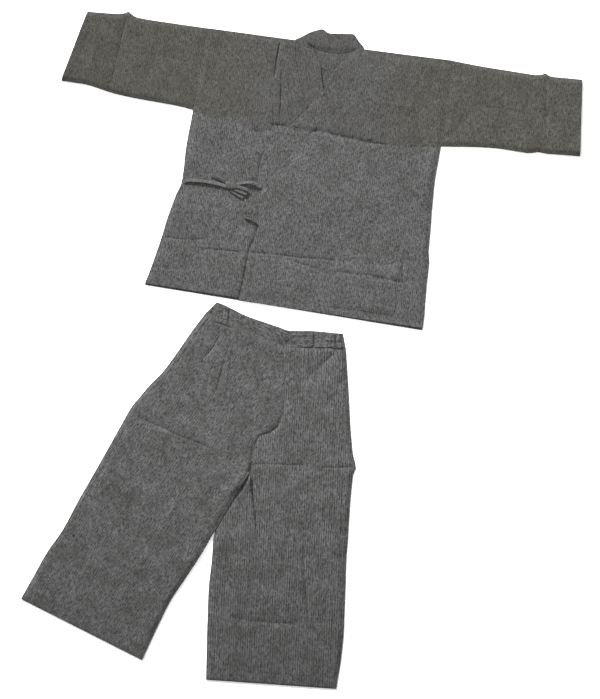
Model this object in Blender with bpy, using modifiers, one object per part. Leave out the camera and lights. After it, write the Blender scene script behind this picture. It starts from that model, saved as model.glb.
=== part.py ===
# A jinbei set laid flat: a wrap jacket with its ties in a bow, and wide trousers below it.
# Run with: blender --background --python part.py
# Tables are in centimetres in each garment's own frame: x to the right, y towards the collar
# or the waist. Heights and walls are in metres. "Right" and "left" are the wearer's.
import math
from collections import namedtuple

import bmesh
import bpy
from mathutils import Matrix, Vector

CM = 0.01

# walls and gaps
WALL = 0.0012            # one layer of cloth
BAND_WALL = 0.0022       # collar band, folded double
WAIST_WALL = 0.0018      # waistband with its elastic
TIE_WALL = 0.0014        # tie strips
GAP = 0.0003             # between pieces that are sewn or lie on each other
SEAM = GAP / CM          # the same gap in table units
HOLLOW = 0.0009          # least space between a tube's two layers

# where the two garments lie
JACKET_ORIGIN = (0.0634, 0.7924)     # neck centre on the shoulder fold
JACKET_TURN = math.radians(-8.5)
TROUSERS_ORIGIN = (-0.0609, 0.0304)  # top of the waistband at centre front
TROUSERS_TURN = 0.0

# heights of the layers' undersides
LEVEL_FRONT = WALL + GAP                    # a front on the back
LEVEL_OUTER = 2 * (WALL + GAP)              # the lapped front on the other front
LEVEL_LAP = WALL + BAND_WALL + 3 * GAP      # the lapped front on the other collar stretch

COLOURS = {
    "cloth": (0.125, 0.123, 0.126),
    "cloth_dark": (0.09, 0.088, 0.09),
    "button": (0.035, 0.035, 0.038),
}
ROUGHNESS = {"cloth": 0.92, "cloth_dark": 0.92, "button": 0.45}

Section = namedtuple("Section", "ax ay bx by")             # a panel's two edges at one level
Fold = namedtuple("Fold", "x0 y0 x1 y1 width height")      # a ridge, or a trough if negative
Point = namedtuple("Point", "x y lift")                    # a point on a tie's middle line

# jacket tables

ARMHOLE_RIGHT = Section(-33.0, -0.3, -33.2, -22.6)   # shoulder point and underarm
ARMHOLE_LEFT = Section(32.7, 0.6, 32.8, -22.7)

BACK_SECTIONS = [
    Section(-33.0, -0.3, 32.7, 0.6),
    Section(-33.1, -8.0, 32.7, -8.0),
    Section(-33.15, -15.5, 32.75, -15.5),
    Section(-33.2, -22.5, 32.8, -22.7),
    Section(-33.5, -30.7, 32.5, -33.0),
    Section(-33.2, -41.2, 33.0, -42.6),
    Section(-34.7, -48.4, 33.5, -50.8),
    Section(-36.1, -57.2, 34.2, -58.5),
    Section(-37.1, -63.1, 34.6, -66.0),
    Section(-38.5, -70.5, 34.8, -71.6),
]
BACK_SHARES = [0.0, 0.125, 0.25, 0.375, 0.5, 0.625, 0.75, 0.875, 1.0]

# wearer's right front: side seam at a, collar seam and then its hidden front edge at b
INNER_SECTIONS = [
    Section(-33.0, -0.3, -9.3, -0.1),
    Section(-33.05, -4.0, -8.8, -4.0),
    Section(-33.1, -8.0, -7.6, -8.0),
    Section(-33.1, -12.6, -5.9, -12.6),
    Section(-33.15, -16.0, -4.0, -16.0),
    Section(-33.15, -19.0, -2.0, -19.0),
    Section(-33.2, -22.5, -0.3, -21.6),
    Section(-33.3, -25.0, 1.3, -24.2),
    Section(-33.4, -28.5, 3.9, -28.0),
    Section(-33.5, -32.0, 6.3, -31.6),
    Section(-33.4, -36.0, 9.2, -36.0),
    Section(-33.2, -38.5, 10.8, -38.4),
    Section(-33.1, -40.8, 12.4, -40.8),
    Section(-33.4, -43.4, 13.0, -43.4),
    Section(-34.1, -45.6, 12.9, -46.0),
    Section(-34.9, -49.4, 12.9, -50.0),
    Section(-35.6, -53.4, 12.8, -54.0),
    Section(-35.9, -56.0, 12.8, -56.4),
    Section(-36.1, -57.3, 12.8, -57.7),
    Section(-36.4, -58.6, 12.8, -59.0),
    Section(-37.1, -63.1, 12.8, -63.4),
    Section(-37.8, -66.8, 12.7, -67.0),
    Section(-38.5, -70.1, 12.7, -70.6),
]
INNER_SHARES = [0.0, 0.03, 0.08, 0.15, 0.23, 0.31, 0.39, 0.47, 0.55, 0.63, 0.72, 0.81, 0.91, 1.0]

# wearer's left front, lapped over: collar seam and then the open front edge at a, side seam at b
OUTER_SECTIONS = [
    Section(9.0, 0.1, 32.7, 0.6),
    Section(8.8, -4.0, 32.7, -4.0),
    Section(7.6, -8.0, 32.72, -8.0),
    Section(5.9, -12.6, 32.74, -12.6),
    Section(4.0, -16.0, 32.76, -16.0),
    Section(2.0, -19.0, 32.78, -19.0),
    Section(0.3, -21.6, 32.8, -21.8),
    Section(-0.8, -23.3, 32.75, -23.8),
    Section(-2.1, -25.2, 32.7, -25.8),
    Section(-4.2, -28.4, 32.6, -28.8),
    Section(-6.3, -31.6, 32.5, -32.0),
    Section(-9.2, -36.0, 32.7, -36.4),
    Section(-10.8, -38.4, 32.8, -38.6),
    Section(-12.4, -40.8, 32.9, -40.8),
    Section(-12.9, -43.6, 33.1, -43.6),
    Section(-12.0, -47.0, 33.3, -47.0),
    Section(-11.4, -51.0, 33.5, -50.8),
    Section(-12.0, -54.4, 34.1, -54.2),
    Section(-12.5, -56.0, 34.2, -56.0),
    Section(-12.9, -57.7, 34.2, -57.6),
    Section(-13.0, -59.4, 34.2, -59.4),
    Section(-13.1, -63.4, 34.4, -63.4),
    Section(-13.4, -68.0, 34.8, -68.0),
    Section(-13.6, -71.0, 34.8, -71.1),
]
OUTER_SHARES = [0.0, 0.03, 0.08, 0.15, 0.23, 0.31, 0.39, 0.475,
                0.55, 0.625, 0.70, 0.775, 0.85, 0.92, 0.97, 1.0]
POCKET_COLUMNS = (7, 12)    # columns and sections of the lapped front that the pocket covers
POCKET_SECTIONS = (18, 22)

# sleeves, from the armhole to the cuff: fold on top at a, seam below at b
SLEEVE_RIGHT_SECTIONS = [
    ARMHOLE_RIGHT,
    Section(-37.0, -0.3, -37.2, -22.2),
    Section(-42.0, -0.3, -42.4, -22.0),
    Section(-47.3, -0.3, -48.4, -21.8),
    Section(-51.8, -0.1, -53.0, -21.5),
    Section(-54.2, 1.0, -56.0, -21.1),
    Section(-56.2, 0.2, -58.6, -20.6),
    Section(-60.4, -0.2, -63.4, -20.0),
    Section(-65.1, -0.5, -69.0, -20.0),
]
SLEEVE_LEFT_SECTIONS = [
    ARMHOLE_LEFT,
    Section(36.5, 0.4, 36.8, -22.2),
    Section(41.5, 0.2, 42.0, -21.5),
    Section(48.2, 0.1, 48.8, -21.0),
    Section(54.2, 0.0, 55.0, -21.1),
    Section(57.4, 0.8, 58.4, -20.4),
    Section(59.4, 0.2, 60.8, -20.5),
    Section(63.2, 0.4, 65.0, -20.2),
    Section(67.3, 0.6, 69.4, -19.9),
]

# the collar band's free edge beside each section of a front, and its rows round the back neck
COLLAR_FREE_RIGHT = [
    (-5.4, -0.6), (-3.4, -3.4), (-1.6, -6.4), (-0.9, -9.6), (0.3, -12.7), (2.1, -16.0), (4.0, -18.8),
    (5.6, -21.2), (8.3, -25.2), (10.9, -28.4), (12.9, -31.2), (13.5, -35.8), (13.2, -40.2),
]
COLLAR_FREE_LEFT = [
    (7.0, 0.0), (4.6, -3.2), (2.5, -6.2), (1.0, -10.0), (0.0, -13.1), (-2.1, -16.2), (-4.0, -18.8),
    (-5.2, -20.4), (-6.5, -22.2), (-8.7, -25.3), (-10.9, -28.4), (-12.9, -31.2), (-13.5, -35.8),
    (-13.2, -40.2),
]
COLLAR_RISE = 3     # sections over which the left stretch climbs onto the right one
COLLAR_NECK = [
    Section(-4.3, -1.2, -8.0, 0.9),
    Section(-3.2, -1.6, -6.0, 2.4),
    Section(-2.0, -1.8, -4.3, 3.3),
    Section(-0.8, -1.9, -2.6, 3.9),
    Section(0.5, -1.9, -0.7, 3.1),
    Section(1.8, -1.9, 1.8, 3.4),
    Section(3.2, -1.7, 3.8, 3.6),
    Section(4.5, -1.4, 5.5, 3.8),
    Section(5.8, -0.8, 7.4, 2.0),
]

JACKET_FOLDS = [                                     # packing creases, on whichever front
    Fold(-8.6, -23.3, 16.5, -24.0, 1.1, -0.0022),    # across the chest
    Fold(16.0, -24.2, 30.0, -24.0, 1.2, -0.0010),
    Fold(-31.0, -25.6, -15.5, -25.4, 1.3, -0.0012),
    Fold(-11.6, -5.0, -10.6, -23.0, 1.0, -0.0014),   # down from the neck, on the right front
    Fold(-14.2, -1.5, -13.6, -22.0, 1.2, 0.0012),
    Fold(-35.0, -57.3, -15.0, -57.7, 1.3, 0.0018),   # above the hem
    Fold(-13.0, -57.7, 7.5, -57.7, 1.3, 0.0020),
    Fold(13.6, -6.0, 13.4, -52.0, 1.8, 0.0007),
]
SLEEVE_FOLDS = [
    Fold(-54.5, 0.5, -57.0, -20.5, 1.3, 0.0018),
    Fold(57.6, 0.5, 59.2, -20.0, 1.3, 0.0014),
]

# ties of the bow, lying on the right front
TIE_WIDTH = 0.9
LOOP_WIDTH = 0.5
TIE_REST = LEVEL_FRONT + WALL + GAP
TIE_OVER_BAND = LEVEL_LAP + BAND_WALL + GAP
TIE_SIDE = [
    Point(-32.9, -42.1, TIE_REST), Point(-28.7, -41.4, TIE_REST + 0.0006),
    Point(-24.8, -41.3, TIE_REST + 0.0010), Point(-20.75, -41.95, TIE_REST),
]
TIE_TAIL = [
    Point(-25.7, -39.2, TIE_REST + 0.0004), Point(-23.4, -39.9, TIE_REST + 0.0014),
    Point(-20.75, -40.95, TIE_REST),
]
TIE_FRONT = [
    Point(-18.25, -40.45, TIE_REST + 0.0004), Point(-16.2, -39.75, TIE_REST + 0.0020),
    Point(-14.2, -39.75, TIE_OVER_BAND), Point(-12.4, -40.7, TIE_OVER_BAND),
]
LOOP_UPPER = [
    Point(-18.25, -41.2, TIE_REST + 0.0006), Point(-16.9, -40.95, TIE_REST + 0.0022),
    Point(-15.7, -41.0, TIE_REST + 0.0030), Point(-15.3, -41.45, TIE_REST + 0.0030),
    Point(-15.9, -41.85, TIE_REST + 0.0020), Point(-17.2, -41.85, TIE_REST + 0.0008),
]
LOOP_LOWER = [
    Point(-18.25, -42.3, TIE_REST + 0.0002), Point(-16.9, -42.5, TIE_REST + 0.0020),
    Point(-15.8, -42.85, TIE_REST + 0.0028), Point(-15.5, -43.5, TIE_REST + 0.0028),
    Point(-16.3, -44.05, TIE_REST + 0.0018), Point(-17.9, -43.6, TIE_REST + 0.0010),
    Point(-19.0, -42.75, TIE_REST + 0.0002),
]
TIE_LOWER = [
    Point(-15.4, -49.1, TIE_REST + 0.0012), Point(-13.7, -49.4, TIE_REST + 0.0022),
    Point(-12.7, -49.9, TIE_REST + 0.0010), Point(-12.1, -50.5, TIE_REST),
]
KNOT_CENTRE = (-19.5, -41.45)
KNOT_SIZE = (2.35, 1.7, 0.75)
KNOT_ROUND = 0.28

# trousers tables

# right leg: outer seam at a, centre seam and then inner seam at b
RIGHT_LEG = [
    Section(-19.9, 5.0, 0.0, -4.0),
    Section(-23.7, -0.1, 0.25, -10.4),
    Section(-27.8, -6.1, 0.4, -18.0),
    Section(-31.2, -10.7, -1.4, -24.9),
    Section(-34.5, -14.1, -6.6, -28.0),
    Section(-37.0, -17.1, -7.8, -31.4),
    Section(-38.9, -19.4, -8.2, -34.6),
    Section(-39.6, -20.5, -8.4, -36.2),
    Section(-40.3, -21.7, -9.1, -37.5),
    Section(-43.9, -28.3, -12.6, -43.2),
    Section(-48.9, -37.3, -17.4, -51.5),
    Section(-52.5, -43.7, -21.2, -58.0),
    Section(-56.5, -51.3, -25.0, -63.8),
    Section(-60.4, -57.0, -28.7, -69.4),
    Section(-63.4, -62.4, -31.8, -75.6),
    Section(-66.9, -68.8, -35.8, -84.2),
]
# left leg: centre seam and then inner seam at a, outer seam at b
LEFT_LEG = [
    Section(0.0, -4.0, 16.3, -4.5),
    Section(0.25, -10.4, 16.7, -10.9),
    Section(0.4, -18.0, 17.1, -18.0),
    Section(-1.4, -24.9, 17.4, -24.7),
    Section(-6.6, -28.0, 17.7, -28.5),
    Section(-7.8, -31.4, 18.0, -31.6),
    Section(-8.2, -34.6, 18.6, -34.2),
    Section(-8.4, -36.2, 18.8, -35.6),
    Section(-9.1, -37.5, 18.2, -37.0),
    Section(-12.6, -43.2, 17.5, -42.6),
    Section(-17.4, -51.5, 16.9, -50.6),
    Section(-17.9, -54.4, 16.7, -54.0),
    Section(-18.2, -59.0, 16.3, -58.3),
    Section(-19.0, -66.6, 16.0, -66.6),
    Section(-19.2, -73.4, 15.7, -73.6),
    Section(-19.3, -75.0, 15.7, -75.1),
    Section(-19.3, -76.6, 15.6, -76.6),
    Section(-19.4, -82.2, 15.0, -82.8),
    Section(-19.5, -89.1, 13.6, -91.4),
]
LEG_SHARES = [0.0, 0.035, 0.09, 0.17, 0.26, 0.36, 0.46, 0.56, 0.66, 0.76, 0.85, 0.92, 0.965, 1.0]
LEG_BACK_SHARES = [0.0, 0.25, 0.5, 0.75, 1.0]

TROUSER_FOLDS = [
    Fold(-37.5, -21.3, -13.0, -33.6, 1.2, -0.0022),    # packing crease across the right thigh
    Fold(-15.3, -8.6, -17.4, -16.5, 1.1, -0.0016),     # pleat line
    Fold(-13.2, -4.0, -15.0, -20.0, 1.6, 0.0016),
    Fold(-7.1, -4.5, -5.4, -13.0, 1.3, -0.0018),       # slack beside the centre seam
    Fold(-5.4, -12.0, -8.6, -24.0, 1.1, -0.0024),
    Fold(-2.6, -12.0, -4.6, -24.0, 1.6, 0.0022),
    Fold(14.2, -4.6, 6.6, -15.2, 1.4, -0.0016),        # drag from the side of the waist
    Fold(-6.6, -35.4, 18.0, -35.6, 1.1, -0.0020),      # packing crease across the left thigh
    Fold(-9.0, -41.0, -16.0, -53.0, 2.4, -0.0060),     # hollow beside the lapping right leg
    Fold(-5.6, -38.0, -5.0, -50.0, 2.0, 0.0026),       # fold that stands over it
    Fold(-15.5, -73.4, 14.5, -75.1, 1.1, -0.0016),     # packing crease above the left hem
    Fold(6.1, -54.0, 6.4, -77.0, 1.3, -0.0010),
    Fold(6.4, -76.0, 2.8, -88.0, 1.3, -0.0010),
    Fold(-9.6, -39.0, -24.0, -60.0, 1.5, 0.0016),      # inner side of the right leg, standing up
]

# waistband, from the right side to the left side: top edge at a, seam to the legs at b
WAIST = [
    Section(-17.3, 7.6, -19.9, 5.0),
    Section(-15.0, 6.7, -16.8, 3.55),
    Section(-9.8, 4.1, -11.4, 1.15),
    Section(-4.2, 2.1, -5.0, -1.75),
    Section(-1.1, 1.05, -1.1, -3.5),
    Section(2.0, 0.1, 0.4, -4.05),
    Section(7.9, 0.0, 7.9, -4.3),
    Section(13.3, -0.5, 13.3, -4.4),
    Section(15.6, -0.7, 16.3, -4.5),
]
WAIST_STEPS = 5             # stations for each stretch of the table
WAIST_PUFF = 0.0012
GATHER_DEPTH = 0.0011
GATHER_PITCH = 1.35         # of the elastic's gathers
ELASTIC = [(-18.5, -14.2), (7.9, 16.0)]     # stretches in x
LAP_X = -1.1                # the waistband's left end laps over here
LAP_STEP = 0.0006

BUTTON_CENTRE = (0.8, -1.9)
BUTTON_RADIUS = 0.0058
BUTTON_HEIGHT = 0.0022

# puff of the cloth between its seams
FRONT_PUFF = 0.0016
SLEEVE_PUFF = 0.0016
LEG_PUFF = 0.0026
SEAM_BAND = 2.4             # how far in from a seam the puff is full
ARMHOLE_PUFF = 0.25         # share of a sleeve's puff that is left at its armhole seam

# a sleeve's rings
RING_LOWER = 4              # stretches of the lower layer and of the upper one
RING_UPPER = 9
EDGE_ROUND = 0.3            # of the wall, at the folded edges


# helpers

def ease(start, end, value):
    """0 at start, 1 at end, smooth between."""
    t = min(max((value - start) / (end - start), 0.0), 1.0)
    return t * t * (3.0 - 2.0 * t)


def fold_height(folds, x, y):
    """Sum of the folds' heights at a point, faded at each fold's ends."""
    total = 0.0
    for fold in folds:
        dx, dy = fold.x1 - fold.x0, fold.y1 - fold.y0
        length = math.hypot(dx, dy)
        along = ((x - fold.x0) * dx + (y - fold.y0) * dy) / length ** 2
        if along <= 0.0 or along >= 1.0:
            continue
        off = abs((x - fold.x0) * dy - (y - fold.y0) * dx) / length
        fade = ease(0.0, 0.14, along) * (1.0 - ease(0.86, 1.0, along))
        total += fold.height * fade * math.exp(-(off / fold.width) ** 2)
    return total


def sway(x, y):
    """Slow unevenness of cloth that has been laid out by hand, between 0.4 and 1."""
    wave = math.sin(0.31 * x + 0.9) * math.sin(0.23 * y - 0.4) + 0.5 * math.sin(0.17 * x - 0.29 * y)
    return 0.7 + 0.2 * wave


def loft(sections, shares):
    """Grid of (x, y, distance to edge a, distance to edge b), one row for each section."""
    grid = []
    for s in sections:
        width = math.hypot(s.bx - s.ax, s.by - s.ay)
        grid.append([(s.ax + (s.bx - s.ax) * t, s.ay + (s.by - s.ay) * t,
                      width * t, width * (1.0 - t)) for t in shares])
    return grid


def inset(sections, at_a, at_b, count=None):
    """The sections with their a and b edges moved in, for the first count rows or for all."""
    moved = []
    for k, s in enumerate(sections):
        if count is not None and k >= count:
            moved.append(s)
            continue
        width = math.hypot(s.bx - s.ax, s.by - s.ay)
        ux, uy = (s.bx - s.ax) / width, (s.by - s.ay) / width
        moved.append(Section(s.ax + ux * at_a, s.ay + uy * at_a, s.bx - ux * at_b, s.by - uy * at_b))
    return moved


def at_armhole(sections, armhole, side):
    """The sections with one side, "a" or "b", brought onto the straight armhole."""
    fitted = []
    for s in sections:
        y = getattr(s, side + "y")
        if y > armhole.by:
            t = (y - armhole.ay) / (armhole.by - armhole.ay)
            s = s._replace(**{side + "x": armhole.ax + (armhole.bx - armhole.ax) * t})
        fitted.append(s)
    return fitted


def material(kind):
    mat = bpy.data.materials.get(kind) or bpy.data.materials.new(kind)
    mat.use_nodes = True
    shader = mat.node_tree.nodes["Principled BSDF"]
    shader.inputs["Base Color"].default_value = COLOURS[kind] + (1.0,)
    shader.inputs["Roughness"].default_value = ROUGHNESS[kind]
    shader.inputs["Metallic"].default_value = 0.0
    return mat


def place(name, mesh, parent, kind):
    obj = bpy.data.objects.new(name, mesh)
    obj.parent = parent
    mesh.materials.append(material(kind))
    bpy.data.collections["jinbei_set"].objects.link(obj)
    return obj


def from_bmesh(name, bm, parent, kind):
    mesh = bpy.data.meshes.new(name)
    bm.to_mesh(mesh)
    bm.free()
    return place(name, mesh, parent, kind)


def sheet(name, points, wall, parent, kind="cloth"):
    """A cloth wall: a lofted surface of (x, y, underside height), drawn straight up by its wall."""
    bm = bmesh.new()
    rows = [[bm.verts.new((x * CM, y * CM, z)) for x, y, z in row] for row in points]
    for lower, upper in zip(rows, rows[1:]):
        for a, b, c, d in zip(lower, lower[1:], upper[1:], upper):
            bm.faces.new((a, b, c))
            bm.faces.new((a, c, d))
    bmesh.ops.recalc_face_normals(bm, faces=bm.faces)
    if sum(f.normal.z for f in bm.faces) > 0.0:
        bmesh.ops.reverse_faces(bm, faces=bm.faces)
    raised = bmesh.ops.extrude_face_region(bm, geom=bm.faces[:], use_keep_orig=True)
    top = [item for item in raised["geom"] if isinstance(item, bmesh.types.BMVert)]
    bmesh.ops.translate(bm, verts=top, vec=(0.0, 0.0, wall))
    bmesh.ops.recalc_face_normals(bm, faces=bm.faces)
    return from_bmesh(name, bm, parent, kind)


def tube(name, rings, parent, kind="cloth"):
    """A flattened tube: rings of (outer point, inner point) pairs, open at both ends."""
    bm = bmesh.new()
    outer = [[bm.verts.new(pair[0]) for pair in ring] for ring in rings]
    inner = [[bm.verts.new(pair[1]) for pair in ring] for ring in rings]
    count = len(rings[0])
    for skin in (outer, inner):
        for first, second in zip(skin, skin[1:]):
            for k in range(count):
                n = (k + 1) % count
                bm.faces.new((first[k], first[n], second[n], second[k]))
    for end in (0, -1):
        for k in range(count):
            n = (k + 1) % count
            bm.faces.new((outer[end][k], outer[end][n], inner[end][n], inner[end][k]))
    bmesh.ops.recalc_face_normals(bm, faces=bm.faces)
    return from_bmesh(name, bm, parent, kind)


def flat_ring(s, wall, heights):
    """One ring of a flattened tube across a section. heights are the upper layer's tops."""
    width = math.hypot(s.bx - s.ax, s.by - s.ay) * CM
    across = Vector((s.bx - s.ax, s.by - s.ay, 0.0)).normalized()
    start = Vector((s.ax * CM, s.ay * CM, 0.0))
    count = len(heights) + 1
    ring = []

    def add(outer_along, outer_z, inner_along, inner_z):
        ring.append((start + across * outer_along + Vector((0, 0, outer_z)),
                     start + across * inner_along + Vector((0, 0, inner_z))))

    edge = 2 * wall + HOLLOW
    round_off = EDGE_ROUND * wall
    for k in range(RING_LOWER + 1):                       # lower layer, from a to b
        t = k / RING_LOWER
        add(round_off + (width - 2 * round_off) * t, 0.0, wall + (width - 2 * wall) * t, wall)
    add(width, 0.5 * edge, width - wall, 0.5 * edge)      # edge b
    for k in range(count - 1, 0, -1):                     # upper layer, from b to a
        t = k / count
        add(width * t, heights[k - 1], width * t, heights[k - 1] - wall)
    add(0.0, 0.5 * edge, wall, 0.5 * edge)                # edge a
    return ring


def smooth_path(points, steps):
    """Points along a smooth curve through the table's own points."""
    path = []
    for k in range(len(points) - 1):
        p0 = Vector(points[max(k - 1, 0)])
        p1, p2 = Vector(points[k]), Vector(points[k + 1])
        p3 = Vector(points[min(k + 2, len(points) - 1)])
        for i in range(steps):
            t = i / steps
            path.append(0.5 * (2 * p1 + (p2 - p0) * t + (2 * p0 - 5 * p1 + 4 * p2 - p3) * t ** 2
                               + (3 * p1 - p0 - 3 * p2 + p3) * t ** 3))
    path.append(Vector(points[-1]))
    return path


def ribbon(name, points, width, parent, steps=4):
    """A flat strip along a smooth route, as wide as the tie."""
    path = smooth_path(points, steps)
    rows = []
    for k, p in enumerate(path):
        ahead = path[min(k + 1, len(path) - 1)] - path[max(k - 1, 0)]
        side = Vector((-ahead.y, ahead.x)).normalized() * (width / 2)
        rows.append([(p.x - side.x, p.y - side.y, p.z), (p.x + side.x, p.y + side.y, p.z)])
    return sheet(name, rows, TIE_WALL, parent, "cloth_dark")


# jacket

def lap_edge_x(y):
    """Where the lapped front or its band begins, over the right front."""
    for (x0, y0), (x1, y1) in zip(COLLAR_FREE_LEFT, COLLAR_FREE_LEFT[1:]):
        if y0 >= y > y1:
            return x0 + (x1 - x0) * (y - y0) / (y1 - y0)
    return COLLAR_FREE_LEFT[-1][0]


def outer_level(x, y):
    """Underside of the lapped front over whatever lies below it."""
    over_front = ease(27.0, 15.5, x) * ease(-1.0, -8.0, y)
    over_band = ease(-52.0, -46.0, y)
    return LEVEL_FRONT + over_front * (LEVEL_OUTER - LEVEL_FRONT
                                       + over_band * (LEVEL_LAP - LEVEL_OUTER))


def jacket_back(parent):
    sections = at_armhole(BACK_SECTIONS, ARMHOLE_RIGHT, "a")
    grid = loft(at_armhole(sections, ARMHOLE_LEFT, "b"), BACK_SHARES)
    sheet("jacket_back", [[(x, y, 0.0) for x, y, _, _ in row] for row in grid], WALL, parent)


def jacket_front_right(parent):
    sections = at_armhole(INNER_SECTIONS, ARMHOLE_RIGHT, "a")
    sections = inset(sections, 0.0, SEAM, len(COLLAR_FREE_RIGHT))
    grid = loft(sections, INNER_SHARES)
    rows = []
    for row in grid:
        points = []
        for x, y, from_side, _ in row:
            clear = ease(-0.5, -3.5, x - lap_edge_x(y))      # flat where the other front laps
            clear *= 1.0 - ease(-45.5, -43.5, y) * (1.0 - ease(-38.0, -36.0, y))  # and at the bow
            puff = FRONT_PUFF * sway(x, y) + fold_height(JACKET_FOLDS, x, y)
            lift = max(puff, 0.0) * clear * ease(0.0, SEAM_BAND, from_side) * ease(0.0, -2.0, y)
            points.append((x, y, LEVEL_FRONT + lift))
        rows.append(points)
    sheet("jacket_front_right", rows, WALL, parent)


def jacket_front_left(parent):
    """Returns its grid of undersides, which the pocket follows."""
    sections = at_armhole(OUTER_SECTIONS, ARMHOLE_LEFT, "b")
    sections = inset(sections, SEAM, 0.0, len(COLLAR_FREE_LEFT))
    grid = loft(sections, OUTER_SHARES)
    rows = []
    for row in grid:
        points = []
        for x, y, from_edge, from_side in row:
            puff = FRONT_PUFF * sway(x, y) + fold_height(JACKET_FOLDS, x, y)
            ends = ease(0.0, 1.5, from_edge) * ease(0.0, SEAM_BAND, from_side) * ease(0.0, -2.0, y)
            points.append((x, y, outer_level(x, y) + max(puff, 0.0) * ends))
        rows.append(points)
    sheet("jacket_front_left", rows, WALL, parent)
    return rows


def pocket(parent, front_rows):
    first, last = POCKET_SECTIONS
    left, right = POCKET_COLUMNS
    rows = [[(x, y, z + WALL + GAP) for x, y, z in row[left:right + 1]]
            for row in front_rows[first:last + 1]]
    sheet("pocket", rows, WALL, parent)


def sleeve(name, sections, parent):
    rings = []
    for k, s in enumerate(sections):
        if k == 0:
            out = math.copysign(SEAM, s.ax)
            s = Section(s.ax + out, s.ay, s.bx + out, s.by)
        width = math.hypot(s.bx - s.ax, s.by - s.ay)
        heights = []
        for i in range(1, RING_UPPER):
            t = i / RING_UPPER
            x, y = s.ax + (s.bx - s.ax) * t, s.ay + (s.by - s.ay) * t
            ends = ease(0.0, SEAM_BAND, width * t) * ease(0.0, SEAM_BAND, width * (1.0 - t))
            ends *= ARMHOLE_PUFF if k == 0 else 1.0
            puff = max(SLEEVE_PUFF * sway(x, y) + fold_height(SLEEVE_FOLDS, x, y), 0.0)
            heights.append(2 * WALL + HOLLOW + puff * ends)
        rings.append(flat_ring(s, WALL, heights))
    tube(name, rings, parent)


def collar(parent):
    """One strip from its hidden end on the right front, round the neck, to the left front's edge."""
    steps = (0.0, 0.5, 1.0)
    rows = []

    def row(inner, outer, lift):
        rows.append([(inner[0] + (outer[0] - inner[0]) * t, inner[1] + (outer[1] - inner[1]) * t, lift)
                     for t in steps])

    for free, s in reversed(list(zip(COLLAR_FREE_RIGHT, INNER_SECTIONS))):
        row(free, (s.bx, s.by), LEVEL_FRONT)
    for s in COLLAR_NECK:
        row((s.ax, s.ay), (s.bx, s.by), LEVEL_FRONT)
    for k, (free, s) in enumerate(zip(COLLAR_FREE_LEFT, OUTER_SECTIONS)):
        row(free, (s.ax, s.ay), LEVEL_FRONT + (LEVEL_LAP - LEVEL_FRONT) * ease(0, COLLAR_RISE, k))
    sheet("collar", rows, BAND_WALL, parent)


def knot(parent):
    bpy.ops.mesh.primitive_cube_add(size=1.0)
    obj = bpy.context.active_object
    obj.name = "bow_knot"
    sx, sy, sz = (v * CM for v in KNOT_SIZE)
    centre = (KNOT_CENTRE[0] * CM, KNOT_CENTRE[1] * CM, TIE_REST + sz / 2)
    obj.data.transform(Matrix.Translation(centre) @ Matrix.Diagonal((sx, sy, sz, 1.0)))
    for collection in obj.users_collection:
        collection.objects.unlink(obj)
    bpy.data.collections["jinbei_set"].objects.link(obj)
    obj.parent = parent
    obj.data.materials.append(material("cloth_dark"))
    bevel = obj.modifiers.new("round", "BEVEL")
    bevel.width = KNOT_ROUND * CM
    bevel.segments = 2


def jacket(parent):
    jacket_back(parent)
    jacket_front_right(parent)
    front_rows = jacket_front_left(parent)
    pocket(parent, front_rows)
    sleeve("sleeve_right", SLEEVE_RIGHT_SECTIONS, parent)
    sleeve("sleeve_left", SLEEVE_LEFT_SECTIONS, parent)
    collar(parent)
    ribbon("tie_side", TIE_SIDE, TIE_WIDTH, parent)
    ribbon("bow_tail", TIE_TAIL, TIE_WIDTH, parent)
    ribbon("tie_front", TIE_FRONT, TIE_WIDTH, parent)
    ribbon("bow_loop_upper", LOOP_UPPER, LOOP_WIDTH, parent, steps=3)
    ribbon("bow_loop_lower", LOOP_LOWER, LOOP_WIDTH, parent, steps=3)
    ribbon("tie_lower", TIE_LOWER, TIE_WIDTH, parent, steps=3)
    knot(parent)


# trousers

def leg_front(name, sections, parent):
    rows = []
    for row in loft(sections, LEG_SHARES):
        points = []
        for x, y, from_a, from_b in row:
            puff = LEG_PUFF * sway(x, y) + fold_height(TROUSER_FOLDS, x, y)
            ends = ease(0.0, SEAM_BAND, from_a) * ease(0.0, SEAM_BAND, from_b)
            points.append((x, y, LEVEL_FRONT + max(puff, 0.0) * ends))
        rows.append(points)
    sheet(name, rows, WALL, parent)


def leg_back(name, sections, parent):
    rows = [[(x, y, 0.0) for x, y, _, _ in row] for row in loft(sections, LEG_BACK_SHARES)]
    sheet(name, rows, WALL, parent)


def waist_seam_y(x):
    """The legs' top edges, where the waistband is sewn on."""
    leg = RIGHT_LEG[0] if x < RIGHT_LEG[0].bx else LEFT_LEG[0]
    return leg.ay + (leg.by - leg.ay) * (x - leg.ax) / (leg.bx - leg.ax)


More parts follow.
